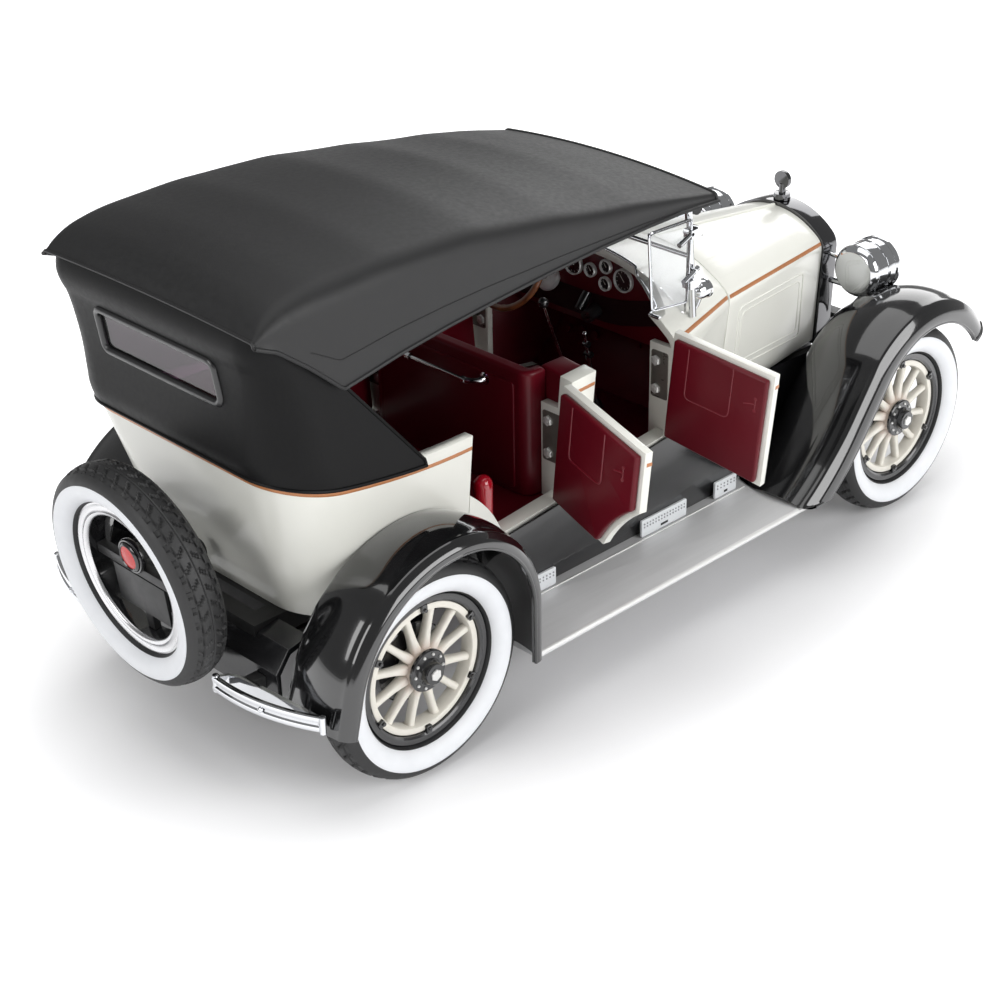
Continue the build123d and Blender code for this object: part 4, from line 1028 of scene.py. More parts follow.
bodyLine = {
    "wide": 0.85, "proud": 0.10, "belowBelt": 2.95,
    # height of the line along the doors and the cowl
    "doors": [(-58.9, 64.65), (-29.8, 66.5), (-22.5, 66.9), (4.6, 67.6)],
    "shoulder": [(5.0, 67.4), (34.3, 66.3), (34.9, 66.2), (81.0, 64.0)],
}
sidePlane = {"half": 32.3, "lean": radians(5.75)}
tubShape = {
    "front": -58.95, "back": -99.0, "backLean": 9.5 / 36,
    # corner radius at the foot, its change with height, and the foot
    "corner": 16.0, "cornerLean": -4.0 / 42, "foot": 36.0,
    # slope of the back, of the side, and what the corner takes off
    "slopes": (0.359, 0.196, 0.0952),
}


def tubHalf(z):
    return sidePlane["half"] + (z - 40) * tan(sidePlane["lean"])


def tubSizes(z):
    # half width, back and corner radius at a height
    t = tubShape
    return tubHalf(z), t["back"] - (z - 40) * t["backLean"], t["corner"] + (z - t["foot"]) * t["cornerLean"]


def tubPoint(kind, share, sign, z, out):
    half, back, corner = (size + shift for size, shift in zip(tubSizes(z), (out, -out, out)))
    front = tubShape["front"]
    if kind == "side":
        return Vector((front + (back + corner - front) * share, sign * half, z))
    if kind == "corner":
        a = share * pi / 2
        return Vector((back + corner - corner * sin(a), sign * (half - corner + corner * cos(a)), z))
    return Vector((back, sign * (half - corner) * (1 - share), z))


def ribbon(shape, lower, upper, normals, proud, sink=0.15, place=None):
    rows = []
    for a, b, n in zip(lower, upper, normals):
        rows.append([a - n * sink, a + n * proud * 0.6, a + (b - a) * 0.2 + n * proud,
                     b + (a - b) * 0.2 + n * proud, b + n * proud * 0.6, b - n * sink])
    shape.grid(rows, closeColumns=True, place=place)
    shape.capEnds(rows, place)


def addBeltLine():
    spots = [("side", i / 12, -1) for i in range(12)] + [("corner", i / 16, -1) for i in range(16)]
    spots += [("back", i / 6, -1) for i in range(6)]
    spots += [("back", 1, 1)] + [(k, t, 1) for k, t, sign in reversed(spots[1:])] + [("side", 0, 1)]
    lower, upper, normals = [], [], []
    for kind, share, sign in spots:
        z = beltHeight(tubPoint(kind, share, sign, 68, 0).x) - bodyLine["belowBelt"]
        a = tubPoint(kind, share, sign, z - bodyLine["wide"] / 2, 0)
        b = tubPoint(kind, share, sign, z + bodyLine["wide"] / 2, 0)
        lower.append(a)
        upper.append(b)
        normals.append((tubPoint(kind, share, sign, z, 1) - tubPoint(kind, share, sign, z, 0)).normalized())
    line = Shape()
    ribbon(line, lower, upper, normals, bodyLine["proud"])
    makePiece("beltLine", line, copperLine, "car", sharp=60)


def addShoulderLine(name, node, x0, x1):
    skin = surfaceOf(node)
    line = Shape()
    for sign in (-1, 1):
        lower, upper, normals = [], [], []
        for i in range(25):
            x = x0 + (x1 - x0) * i / 24
            z = straightTable(bodyLine["shoulder"], x)
            hits = [fromSide(skin, x, z + lift * bodyLine["wide"] / 2, sign) for lift in (-1, 1)]
            if any(h[0] is None for h in hits):
                continue
            lower.append(hits[0][0])
            upper.append(hits[1][0])
            n = hits[0][1] + hits[1][1]
            normals.append((n if n.y * sign > 0 else -n).normalized())
        ribbon(line, lower, upper, normals, 0.16)
    makePiece(name, line, copperLine, "car", sharp=60)


addBeltLine()
addShoulderLine("cowlLine", "cowl", 5.2, 34.2)
addShoulderLine("hoodLine", "hood", 35.2, 81.4)

# hood sides: a pressed panel of two steps, the centre hinge and the edge beads

hoodShape = {
    # outline of the pressed panel on the hood's side: x and height
    "panel": [(40.5, 44.5), (73.5, 41.5), (72.5, 59.4), (40.2, 61.6)],
    "panelRound": 1.6, "stepIn": 1.7, "beadRadius": 0.30, "beadSink": (0.08, 0.12),
    "hingeRadius": 0.42, "hingeFrom": 35.2, "hingeLong": 46.4,
}


def snapLine(skin, outline, sign, lift=0.0):
    line = []
    count = len(outline)
    for i in range(count):
        (x0, z0), (x1, z1) = outline[i], outline[(i + 1) % count]
        for k in range(6):
            x, z = x0 + (x1 - x0) * k / 6, z0 + (z1 - z0) * k / 6
            hit = fromSide(skin, x, z, sign)
            if hit[0] is not None:
                line.append(hit[0] + Vector((0, sign * lift, 0)))
    return line


def addHoodDetail():
    h = hoodShape
    skin = surfaceOf("hood")
    pressing = Shape()
    for sign in (-1, 1):
        outer = roundedOutline(h["panel"], h["panelRound"], 4)
        inner = roundedOutline(insetOutline(h["panel"], h["stepIn"]), h["panelRound"], 4)
        for outline, sink in zip((outer, inner), h["beadSink"]):
            pressing.tube(snapLine(skin, outline, sign, -sink), h["beadRadius"], 8, closed=True)
    hinge = []
    for i in range(20):
        x = h["hingeFrom"] + i * h["hingeLong"] / 19
        hit = skin.ray_cast(Vector((x, 0, 100)), Vector((0, 0, -1)))
        hinge.append(hit[0] + Vector((0, 0, 0.05)))
    pressing.tube(hinge, h["hingeRadius"], 10)
    makePiece("hoodPressing", pressing, ivoryPaint, "car")
    softCopy("hoodShell", "hood", 0.25, 2)


addHoodDetail()
softCopy("cowlShell", "cowl", 0.35, 2)


def tubNormal(at):
    # the smooth body's normal, which hides the facets of the tub's mesh
    half, back, corner = tubSizes(at.z)
    side, aft = abs(at.y) - (half - corner), back + corner - at.x
    a = atan2(max(aft, 0), max(side, 0)) if aft > 0 or side > 0 else 0
    ofBack, ofSide, less = tubShape["slopes"]
    slope = ofBack * sin(a) + ofSide * cos(a) - less
    return Vector((-sin(a), copysign(cos(a), at.y), -slope)).normalized()


def addTub():
    mesh = softCopy("bodyTub", "body_tub", 0).data
    normals = [Vector(n.vector) for n in mesh.corner_normals]
    for face in mesh.polygons:
        for i in face.loop_indices:
            true = tubNormal(mesh.vertices[mesh.loops[i].vertex_index].co / mm)
            if true.dot(face.normal) > 0.97:
                normals[i] = true
    mesh.normals_split_custom_set(normals)


addTub()
softCopy("sideFrames", "side_frames", 0.35, 2)
print("body lines made")

# doors: rounded skins and linings, a pressed pocket outline and a small latch on each lining

doorShape = {
    "skinRound": 0.4, "liningRound": 0.55, "skinThick": 1.9, "liningThick": 1.7,
    "openFront": 98.0, "openRear": 80.5,  # degrees
    # hinge x, free x, top at the hinge, top at the free edge, pocket from, to and foot, latch x and height
    "front": (4.2, -22.1, 71.2, 69.9, -1.0, -12.6, 57.2, -17.6, 62.4),
    "rear": (-30.2, -58.5, 69.5, 67.6, -35.9, -47.2, 55.0, -52.8, 61.0),
    "beadRadius": 0.22, "pocketRound": 1.6, "hingeOut": 0.2, "edgeDepths": (-0.05, 0.6, 1.3),
    # lines of the latch, as x and height from its middle, and their radius
    "latch": [([(1.6, -0.5), (0, 0), (-1.5, 0.2)], 0.24), ([(-1.3, -1.4), (-1.3, 1.5)], 0.2)],
    # handle: x from the latch, height, depth, radius
    "grip": [(2.6, 62.6, -0.4, 0.55), (2.6, 62.6, -1.3, 0.45), (1.4, 62.6, -1.6, 0.42), (-1.6, 62.5, -1.5, 0.5)],
    "proud": {"front": 0.07, "rear": 0.22},  # the closed front door stands close to the seat
}


def doorPoint(x, z, depth):
    # a point of a closed right-hand door, depth measured inwards from the skin
    lean = sidePlane["lean"]
    up = (z - 40) / cos(lean)
    return Vector((x, -sidePlane["half"] - up * sin(lean) + depth * cos(lean),
                   40 + up * cos(lean) + depth * sin(lean)))


def doorLine(shape, x0, x1, steps, place):
    # the copper line along a door or a post
    lower, upper, normals = [], [], []
    for i in range(steps + 1):
        x = x0 + (x1 - x0) * i / steps
        z = straightTable(bodyLine["doors"], x)
        lower.append(doorPoint(x, z - bodyLine["wide"] / 2, 0))
        upper.append(doorPoint(x, z + bodyLine["wide"] / 2, 0))
        normals.append((doorPoint(x, z, -1) - doorPoint(x, z, 0)).normalized())
    ribbon(shape, lower, upper, normals, bodyLine["proud"], place=place)


def doorPlace(end, side):
    # from the closed right-hand door to where this door stands
    if side == "left":
        return bothSides[1]
    lean = sidePlane["lean"]
    hinge = Vector((doorShape[end][0], -sidePlane["half"] - doorShape["hingeOut"], 40))
    axis = Vector((0, -sin(lean), cos(lean)))
    turn = Matrix.Rotation(radians(doorShape["open" + end.capitalize()]), 4, axis)
    return Matrix.Translation(hinge) @ turn @ Matrix.Translation(-hinge)


def addDoor(end, side):
    d = doorShape
    body = f"door_{end}_{side}"
    title = f"door{end.capitalize()}{side.capitalize()}"
    place = doorPlace(end, side)
    softCopy(title + "Skin", body + "_skin", d["skinRound"], 3)
    softCopy(title + "Lining", body + "_trim", d["liningRound"], 3)
    hingeX, freeX, topHinge, topFree, pocketFrom, pocketTo, foot, latchX, latchZ = d[end]
    face = d["skinThick"] + d["liningThick"]
    slope = (topFree - topHinge) / (freeX - hingeX)

    def topAt(x):
        return topHinge + (x - hingeX) * slope - 1.5

    first, last = (pocketFrom, topAt(pocketFrom)), (pocketTo, topAt(pocketTo))
    bends = roundedOutline([first, (pocketFrom, foot), (pocketTo, foot - 0.6), last], d["pocketRound"], 6)
    path = [first] + bends[7:21] + [last]
    bead = Shape()
    proud = d["proud"][end]
    bead.tube([doorPoint(x, z, face + proud - d["beadRadius"]) for x, z in path], d["beadRadius"], 8, place=place)
    for points, radius in d["latch"]:
        bead.tube([doorPoint(latchX + x, latchZ + z, face + proud - radius) for x, z in points], radius, 8,
                  place=place)
    for x, z in d["latch"][1][0]:
        ends = [doorPoint(latchX + x, latchZ + z, depth) for depth in (face - 0.3, face + proud)]
        bead.tube(ends, [0.5, 0.4], 10, place=place)
    # the pocket beads and latch take the lighter maroon, a painted highlight
    makePiece(title + "Pocket", bead, paintedHighlightTrim, body, sharp=50)
    line = Shape()
    doorLine(line, hingeX - 0.1, freeX + 0.1, 8, place)
    z = straightTable(bodyLine["doors"], freeX)
    lower, upper = [[doorPoint(freeX, z + lift * bodyLine["wide"] / 2, depth) for depth in d["edgeDepths"]]
                    for lift in (-1, 1)]
    ribbon(line, lower, upper, [Vector((-1, 0, 0))] * 3, bodyLine["proud"], place=place)
    makePiece(title + "Line", line, copperLine, body, sharp=60)
    handle = Shape()
    grip = [doorPoint(latchX + x, z, depth) for x, z, depth, radius in d["grip"]]
    handle.tube(grip, [row[3] for row in d["grip"]], 10, place=place)
    makePiece(title + "Handle", handle, chromePlate, body)


for end in ("front", "rear"):
    for side in ("right", "left"):
        addDoor(end, side)
print("doors made")

# posts: hinge plates with their screws, and the copper line across the posts

postShape = {
    "thick": 0.2, "round": 0.7,
    # screws: radius, along
    "head": [(0, 0), (1.3, 0), (1.3, 0.42), (1.066, 0.6), (0, 0.6)],
    "point": [(0, 0.6), (0.65, 0.6), (0.455, 0.72), (0, 0.75)],
    # rear face x, plate y from, y to, z from, z to, screw y, screw heights
    "plates": [(4.6, -27.2, -32.2, 52.2, 63.8, -28.7, (54.4, 61.4)),
               (-29.8, -26.4, -32.0, 48.4, 60.4, -28.2, (50.4, 58.2))],
    "line": (-22.7, -29.6),
}


def addPosts():
    p = postShape
    steel, screws, line = Shape(), Shape(), Shape()
    for flip in bothSides:
        for x, y0, y1, z0, z1, screwY, heights in p["plates"]:
            corners = [(-y0, z0), (-y1, z0), (-y1, z1), (-y0, z1)]
            steel.slab(roundedOutline(corners, p["round"], 4), p["thick"], flip @ backFacing(x), 0.06)
            for z in heights:
                spot = flip @ facing((x - p["thick"], screwY, z), (-1, 0, 0))
                screws.lathe(p["head"], 6, spot, closed=False)
                screws.lathe(p["point"], 12, spot, closed=False)
        doorLine(line, *p["line"], 4, flip)
    makePiece("hingePlates", steel, hingeSteel, "car", sharp=35)
    makePiece("hingeScrews", screws, screwSteel, "car", sharp=30)
    makePiece("postLine", line, copperLine, "car", sharp=60)


addPosts()

# windshield and wind wings; the lamp glasses come with the lamps

shieldShape = {
    "wing": [(11.6, 94.0), (-2.5, 94.4), (-1.0, 76.0), (10.6, 74.6)],
    "wingY": -31.85, "wingRound": 1.2, "edge": 0.34,
    # clamp pins on the wings: rear end and front end
    "pins": [((6.6, -32.75, 89.4), (13.0, -31.6, 90.8)), ((8.4, -32.75, 80.2), (14.6, -31.5, 81.6))],
    "pinRadius": 0.62,
    "clampBack": 1.6, "clampDrop": 0.2, "clampY": (-32.6, -29.6), "clampRadius": 0.45,
    "bandRadius": 0.5, "bandHalf": 29.0, "roll": ((16.8, -29.2, 94.6), (16.8, 29.2, 94.6)), "rollRadius": 1.7,
}


def glassCopy(name, test, finish):
    # those panes of the CAD glass whose middle passes a test
    mesh = cadNodes["glass"].data.copy()
    shell = bmesh.new()
    shell.from_mesh(mesh)
    bmesh.ops.remove_doubles(shell, verts=shell.verts, dist=0.000002)
    rest = set(shell.verts)
    drop = []
    while rest:
        island, edge = [], [rest.pop()]
        while edge:
            v = edge.pop()
            island.append(v)
            for e in v.link_edges:
                w = e.other_vert(v)
                if w in rest:
                    rest.remove(w)
                    edge.append(w)
        middle = sum((v.co for v in island), Vector()) / len(island) / mm
        if not test(middle):
            drop += island
    bmesh.ops.delete(shell, geom=drop, context="VERTS")
    shell.to_mesh(mesh)
    shell.free()
    mesh.name = name
    mesh.materials.clear()
    mesh.materials.append(finish)
    piece = bpy.data.objects.new(name, mesh)
    scene.collection.objects.link(piece)
    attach(piece, "car")
    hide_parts("glass")


def isScreen(p):
    return -20 < p.x < 40


def addWindshield():
    w = shieldShape
    glassCopy("screenGlass", isScreen, clearPane)
    softCopy("windshieldFrame", "windshield_frame", 0.2, 2)
    bright = Shape()
    for flip in bothSides:
        ring = roundedOutline(w["wing"], w["wingRound"], 4)
        bright.tube([(x, w["wingY"], z) for x, z in ring], w["edge"], 8, closed=True, place=flip)
        for start, end in w["pins"]:
            bright.rod(start, end, w["pinRadius"], 12, place=flip)
            ends = [(end[0] - w["clampBack"], y, end[2] - w["clampDrop"]) for y in w["clampY"]]
            bright.rod(*ends, w["clampRadius"], 10, place=flip)
    skin = surfaceOf("cowl")
    band = []
    for i in range(61):
        y = w["bandHalf"] * (2 * i / 60 - 1)
        for k in range(140):
            hit = skin.ray_cast(Vector((4.65 + k * 0.1, y, 120)), Vector((0, 0, -1)))
            if hit[0] is not None and hit[0].z > 66:
                band.append(hit[0] + Vector((0.35, 0, 0.1)))
                break
    bright.tube(band, w["bandRadius"], 10)
    makePiece("windshieldTrim", bright, chromePlate, "car")
    roll = Shape()
    roll.tube(w["roll"], w["rollRadius"], 20)
    makePiece("frontRoll", roll, topVinyl, "car")


addWindshield()
print("posts and windshield made")

# seats, with a panel on the front seat's back and pleats on the cushions

seatShape = {
    "frontRound": 0.9, "rearRound": 1.0, "dashRound": 0.2,
    # panel: half width, foot, top
    "panel": (21.6, 40.6, 66.4), "panelThick": 0.35, "panelCorner": 1.2, "backX": -33.8,
    # pleats: x from, x to, half width, height, count
    "pleats": [(-29.6, -9.4, 19.4, 50.0, 12), (-85.6, -69.6, 26.0, 51.0, 15)],
    "pleatFill": 0.86, "pleatRise": 0.85, "pleatSink": 0.25, "pleatEnd": 0.5, "pleatFoot": 0.3,
}


def addSeats():
    s = seatShape
    softCopy("frontSeat", "front_seat", s["frontRound"], 4)
    softCopy("rearSeat", "rear_seat", s["rearRound"], 3)
    softCopy("dashPanel", "dashboard", s["dashRound"], 2)
    panel = Shape()
    half, foot, top = s["panel"]
    corners = [(-half, foot), (half, foot), (half, top), (-half, top)]
    panel.slab(roundedOutline(corners, s["panelCorner"], 5), s["panelThick"], backFacing(s["backX"]), 0.2)
    for x0, x1, wide, z, count in s["pleats"]:
        reach = wide / count * s["pleatFill"]
        for i in range(count):
            y = wide * (2 * (i + 0.5) / count - 1)
            ring = []
            for k in range(13):
                a = pi * k / 12
                ring.append((y - reach * cos(a), z - s["pleatSink"] + s["pleatRise"] * sin(a)))
            ends = [[(x, yy, zz) for yy, zz in ring] for x in (x0 + s["pleatEnd"], x1 - s["pleatEnd"])]
            panel.grid(ends)
            for row, x in zip(ends, (x0, x1)):
                panel.grid([row, [(x, yy, z - s["pleatFoot"]) for yy, zz in ring]])
    makePiece("seatPanels", panel, maroonTrim, "car", sharp=50)


# rail on the front seat's back

railShape = {
    "x": -36.8, "half": 9.0, "z": 64.2, "radius": 0.42, "collarRadius": 0.85, "collar": (-0.5, 0.7),
    "footY": 12.3, "bendFrom": 0.4, "bendBack": 2.7, "bendRise": 0.5, "bendRadius": 0.62, "bendSwell": 0.05,
    "plate": [(0, -0.1), (1.5, -0.1), (1.5, 0.25), (0.9, 0.6), (0, 0.7)],
}


def addRail():
    r = railShape
    x, half, z = r["x"], r["half"], r["z"]
    rail = Shape()
    rail.rod((x, -half, z), (x, half, z), r["radius"], 12)
    for sign in (-1, 1):
        start, end = ((x, sign * (half + past), z) for past in r["collar"])
        rail.rod(start, end, r["collarRadius"], 14)
        bend = []
        for k in range(9):
            a = pi / 2 * k / 8
            y = half + r["bendFrom"] + (r["footY"] - half) * sin(a)
            bend.append((x + r["bendBack"] * (1 - cos(a)), sign * y, z + r["bendRise"] * k / 8))
        rail.tube(bend, [r["bendRadius"] + r["bendSwell"] * abs(4 - k) for k in range(9)], 12)
        foot = (seatShape["backX"] - 0.1, sign * (r["footY"] + 0.4), z + 0.4)
        rail.lathe(r["plate"], 20, facing(foot, (-1, 0, 0)), closed=False)
    makePiece("seatRail", rail, chromePlate, "car", ["fittings"])


# gauges: rims, dials, marks and needles

gaugeShape = {
    # y, z, radius
    "gauges": [(-9.2, 72.2, 2.9), (-3.6, 74.2, 1.8), (-3.4, 69.8, 1.8), (1.4, 72.0, 1.8), (7.0, 72.2, 2.9)],
    "x": 14.9, "dialIn": 0.36, "dialHigh": 0.45, "markAt": 0.7, "mark": (0.06, 0.04, 0.16),
    # the rim's radius, counted from the gauge's, and along
    "rim": [(-0.42, 0), (0, 0), (0, 0.8), (-0.16, 1.02), (-0.34, 0.95), (-0.42, 0.7)],
    "needleTurn": 0.7, "needleHigh": 0.5, "needle": (-0.15, 0.58), "needleRadii": (0.1, 0.04),
}


def addGauges():
    g = gaugeShape
    rims, dials, marks = Shape(), Shape(), Shape()
    u, high, w = g["mark"]
    block = [(x, y, z) for y in (0, high) for x, z in ((-u, -w), (u, -w), (u, w), (-u, w))]
    blockFaces = [(0, 1, 2, 3), (4, 5, 6, 7), (0, 1, 5, 4), (1, 2, 6, 5), (2, 3, 7, 6), (3, 0, 4, 7)]
    for y, z, radius in g["gauges"]:
        spot = facing((g["x"], y, z), (-1, 0, 0))
        rims.lathe([(radius + r, along) for r, along in g["rim"]], 40, spot)
        dial, face = radius - g["dialIn"], g["dialHigh"]
        dials.lathe([(0, 0), (dial, 0), (dial, face), (0, face)], 32, spot, closed=False)
        count = 12 if radius > 2 else 7
        for k in range(count):
            turn = spot @ Matrix.Rotation(2 * pi * (k + 0.5) / count, 4, "Y")
            marks.add(block, blockFaces, turn @ Matrix.Translation((0, face, radius * g["markAt"])))
        needle = spot @ Matrix.Rotation(g["needleTurn"], 4, "Y") @ Matrix.Translation((0, g["needleHigh"], 0))
        start, end = ((0, 0, radius * share) for share in g["needle"])
        thick, thin = g["needleRadii"]
        marks.rod(start, end, thick, 6, thin, place=needle)
    makePiece("gaugeRims", rims, stripWhite, "car", sharp=35)
    makePiece("gaugeDials", dials, dialBlack, "car", sharp=35)
    makePiece("gaugeMarks", marks, dialWhite, "car", sharp=35)


# levers with their boots, and the dark knobs under the dash

leverShape = {
    # foot, top, knob radius, stem radius
    "levers": [((9.0, 0.0, 39.3), (-2.8, 0.0, 69.3), 1.3, 0.42),
               ((11.0, -4.5, 39.3), (6.5, -4.5, 60.0), 0.62, 0.5)],
    "swell": 1.15, "boot": [(0, 0), (1.5, 0), (1.35, 0.8), (0.9, 1.9), (0.6, 2.6), (0, 2.6)],
    # grips on the short lever: share of its height, half width
    "grips": ((0.72, 1.0), (0.86, 0.7)), "gripRadius": 0.85,
    "pawl": ((9.4, -5.1, 39.3), (5.9, -5.1, 55.0)), "pawlRadius": 0.3,
    # start, end, radius, steps
    "dashKnobs": [((14.4, 2.2, 66.0), (11.4, 2.2, 62.6), 1.2, 14),
                  ((14.4, -1.0, 62.6), (10.6, -1.0, 61.8), 1.7, 16)],
}


def addLevers():
    v = leverShape
    stems, knobs = Shape(), Shape()
    turns = [pi * k / 12 for k in range(13)]
    for foot, top, knob, stem in v["levers"]:
        stems.tube([foot, top], [stem * v["swell"], stem], 10)
        along = (Vector(top) - Vector(foot)).normalized()
        ball = [(knob * sin(a), knob * -cos(a)) for a in turns]
        (knobs if knob > 1 else stems).lathe(ball, 20, facing(top, along), closed=False)
        knobs.lathe(v["boot"], 16, facing(foot, along), closed=False)
    foot, top = (Vector(p) for p in v["levers"][1][:2])
    for share, size in v["grips"]:
        at = foot + (top - foot) * share
        knobs.rod(at + Vector((0, -size, 0)), at + Vector((0, size, 0)), v["gripRadius"], 10)
    stems.rod(*v["pawl"], v["pawlRadius"], 8)
    makePiece("levers", stems, chromePlate, "car")
    for knob in v["dashKnobs"]:
        knobs.rod(*knob)
    makePiece("leverKnobs", knobs, dialBlack, "car")


# dash: painted shade under its panel, a dark sheet laid on the dash, and the pedal pads on the toe board

dashShape = {
    # lower edge of the panel by y
    "foot": [(-24.0, 71.0), (-20.0, 70.2), (-14.1, 68.4), (-8.3, 66.9), (-3.4, 66.3), (2.9, 66.1), (28.0, 66.0)],
    "shadeHigh": 6.5, "shadeFrom": 27.0, "shadeWide": 50.0, "shadeOff": 0.12, "columns": 40, "rows": 10,
    # y, height, radius
    "pedals": [(10.5, 48.5, 1.2), (15.0, 48.5, 1.2), (19.3, 48.0, 0.9), (0.8, 51.4, 0.5), (-3.5, 49.6, 0.5),
               (-5.5, 53.0, 0.7)],
}


def fromBehind(skin, x, y, z):
    return skin.ray_cast(Vector((x, y, z)), Vector((1, 0, 0)))[0]


# painted shade: a dark maroon sheet laid just off the dash below its panel's lower edge
def addDashShade():
    d = dashShape
    skin = surfaceOf("dashboard")
    rows = []
    for i in range(d["columns"] + 1):
        y = d["shadeFrom"] - d["shadeWide"] * i / d["columns"]
        top = straightTable(d["foot"], y)
        hits = [fromBehind(skin, 5.0, y, top - d["shadeHigh"] * k / d["rows"]) for k in range(d["rows"] + 1)]
        if None not in hits:
            rows.append([hit - Vector((d["shadeOff"], 0, 0)) for hit in hits])
    shade = Shape()
    shade.grid(rows)
    makePiece("dashShade", shade, shadeMaroon, "car", sharp=60)


def addPedals():
    skin = surfaceOf("dashboard")
    pads = Shape()
    for y, z, radius in dashShape["pedals"]:
        hit = fromBehind(skin, 6, y, z)
        if hit is not None:
            pads.rod(hit + Vector((0.2, 0, 0)), hit + Vector((-0.7, 0, 0.3)), radius, 14)
    makePiece("pedals", pads, maroonTrim, "car")


# steering wheel on its column

steeringShape = {
    "column": ((14.3, 15.0, 66.4), (1.0, 15.0, 73.5)), "columnRadius": 0.75, "wheelRadius": 10.4, "rimRadius": 0.78,
    # radius, along
    "collar": [(0, -0.4), (3.3, -0.4), (3.4, 0.2), (3.1, 0.9), (2.2, 1.3), (0, 1.4)],
    "boss": [(0, -0.9), (1.7, -0.9), (1.9, -0.2), (1.7, 0.5), (1.1, 0.9), (0, 1.0)],
    "arms": 4, "arm": [(0, -0.1, 1.2), (0, -0.2, 5.5), (0, 0, 10.2)], "armRadii": [0.75, 0.55, 0.5], "armFlat": 0.6,
}


def columnEnds():
    start, end = (Vector(p) for p in steeringShape["column"])
    return start, end, (end - start).normalized()


def addCollar():
    start, end, axis = columnEnds()
    collar = Shape()
    collar.lathe(steeringShape["collar"], 32, facing(start, axis), closed=False)
    makePiece("columnCollar", collar, stripWhite, "car")


def addSteering():
    w = steeringShape
    start, end, axis = columnEnds()
    spot = facing(end, axis)
    rim, arms = Shape(), Shape()
    rim.tube(circle(w["wheelRadius"], 0, 72), w["rimRadius"], 14, closed=True, place=spot)
    makePiece("steeringRim", rim, wheelWood, "car", ["steering_wheel"])
    for k in range(w["arms"]):
        turn = spot @ Matrix.Rotation(2 * pi * k / w["arms"], 4, "Y")
        arms.tube(w["arm"], w["armRadii"], 10, flat=w["armFlat"], place=turn)
    arms.lathe(w["boss"], 28, spot, closed=False)
    arms.rod(start, end, w["columnRadius"], 16)
    makePiece("steeringSpokes", arms, silverRim, "car")


# small bolster beside the rear door opening

knobShape = {"at": (-48.8, -27.0, 39.3), "radius": 2.15, "high": 12.2}


def addKnob():
    k = knobShape
    r, neck = k["radius"], k["high"] - k["radius"]
    turns = [pi / 2 * i / 8 for i in range(9)]
    dome = [(0, 0), (r * 1.05, 0), (r * 1.05, 1.0), (r * 0.95, 2.4), (r, neck - 2.5)]
    dome += [(r * cos(a), neck + r * sin(a)) for a in turns]
    knob = Shape()
    knob.lathe(dome, 28, facing(k["at"], (0, 0, 1)), closed=False)
    # the bolster takes the brightened maroon, a painted highlight
    makePiece("armKnob", knob, knobHighlightMaroon, "car")


addSeats()
addRail()
addGauges()
addLevers()
addCollar()
addDashShade()
addSteering()
addKnob()
addPedals()
print("cabin made")

# running boards with their edge strips and scuff plates

boardShape = {
    "x": (-52.7, 40.0), "outer": -47.6, "inner": -26.7, "top": 17.5, "thick": 1.6, "edge": 0.7,
    "corner": 0.8, "rounding": 0.15, "lineX": (-47.4, 36.0), "lineY": -30.6, "lineRadius": 0.2,
    "plates": [(-42.0, -29.5), (-0.7, 15.2), (25.7, 33.7)], "plateY": -29.9, "plateThick": 0.6, "plateTop": 22.0,
    "dotStep": 0.95, "dotMargin": 0.9, "dotRows": (20.1, 20.9),
    "dot": [(0, -0.05), (0.26, -0.05), (0.208, 0.13), (0, 0.195)],
    # slot: from and to as shares of the plate's length, foot, top
    "slot": (0.42, 0.58, 18.3, 18.9),
    "rearSkirt": [[(x, -32.0, 38.6), (x, -31.6, 34.0), (x, -27.6, 17.6)] for x in (-46.0, -54.6)],
    "skirtThick": 0.4,
    # rows from the apron's front end to the inner edge of the front fender
    "skirt": [[(35.6, -32.9, 44.0), (35.6, -32.9, 36.0), (35.6, -27.6, 17.6)],
              [(44.0, -27.4, 42.0), (44.0, -27.0, 34.0), (44.0, -24.4, 17.9)],
              [(56.0, -21.8, 40.0), (56.0, -21.8, 32.0), (56.0, -21.6, 22.0)],
              [(76.0, -21.6, 39.0), (76.0, -21.6, 32.0), (76.0, -21.4, 24.0)]],
}


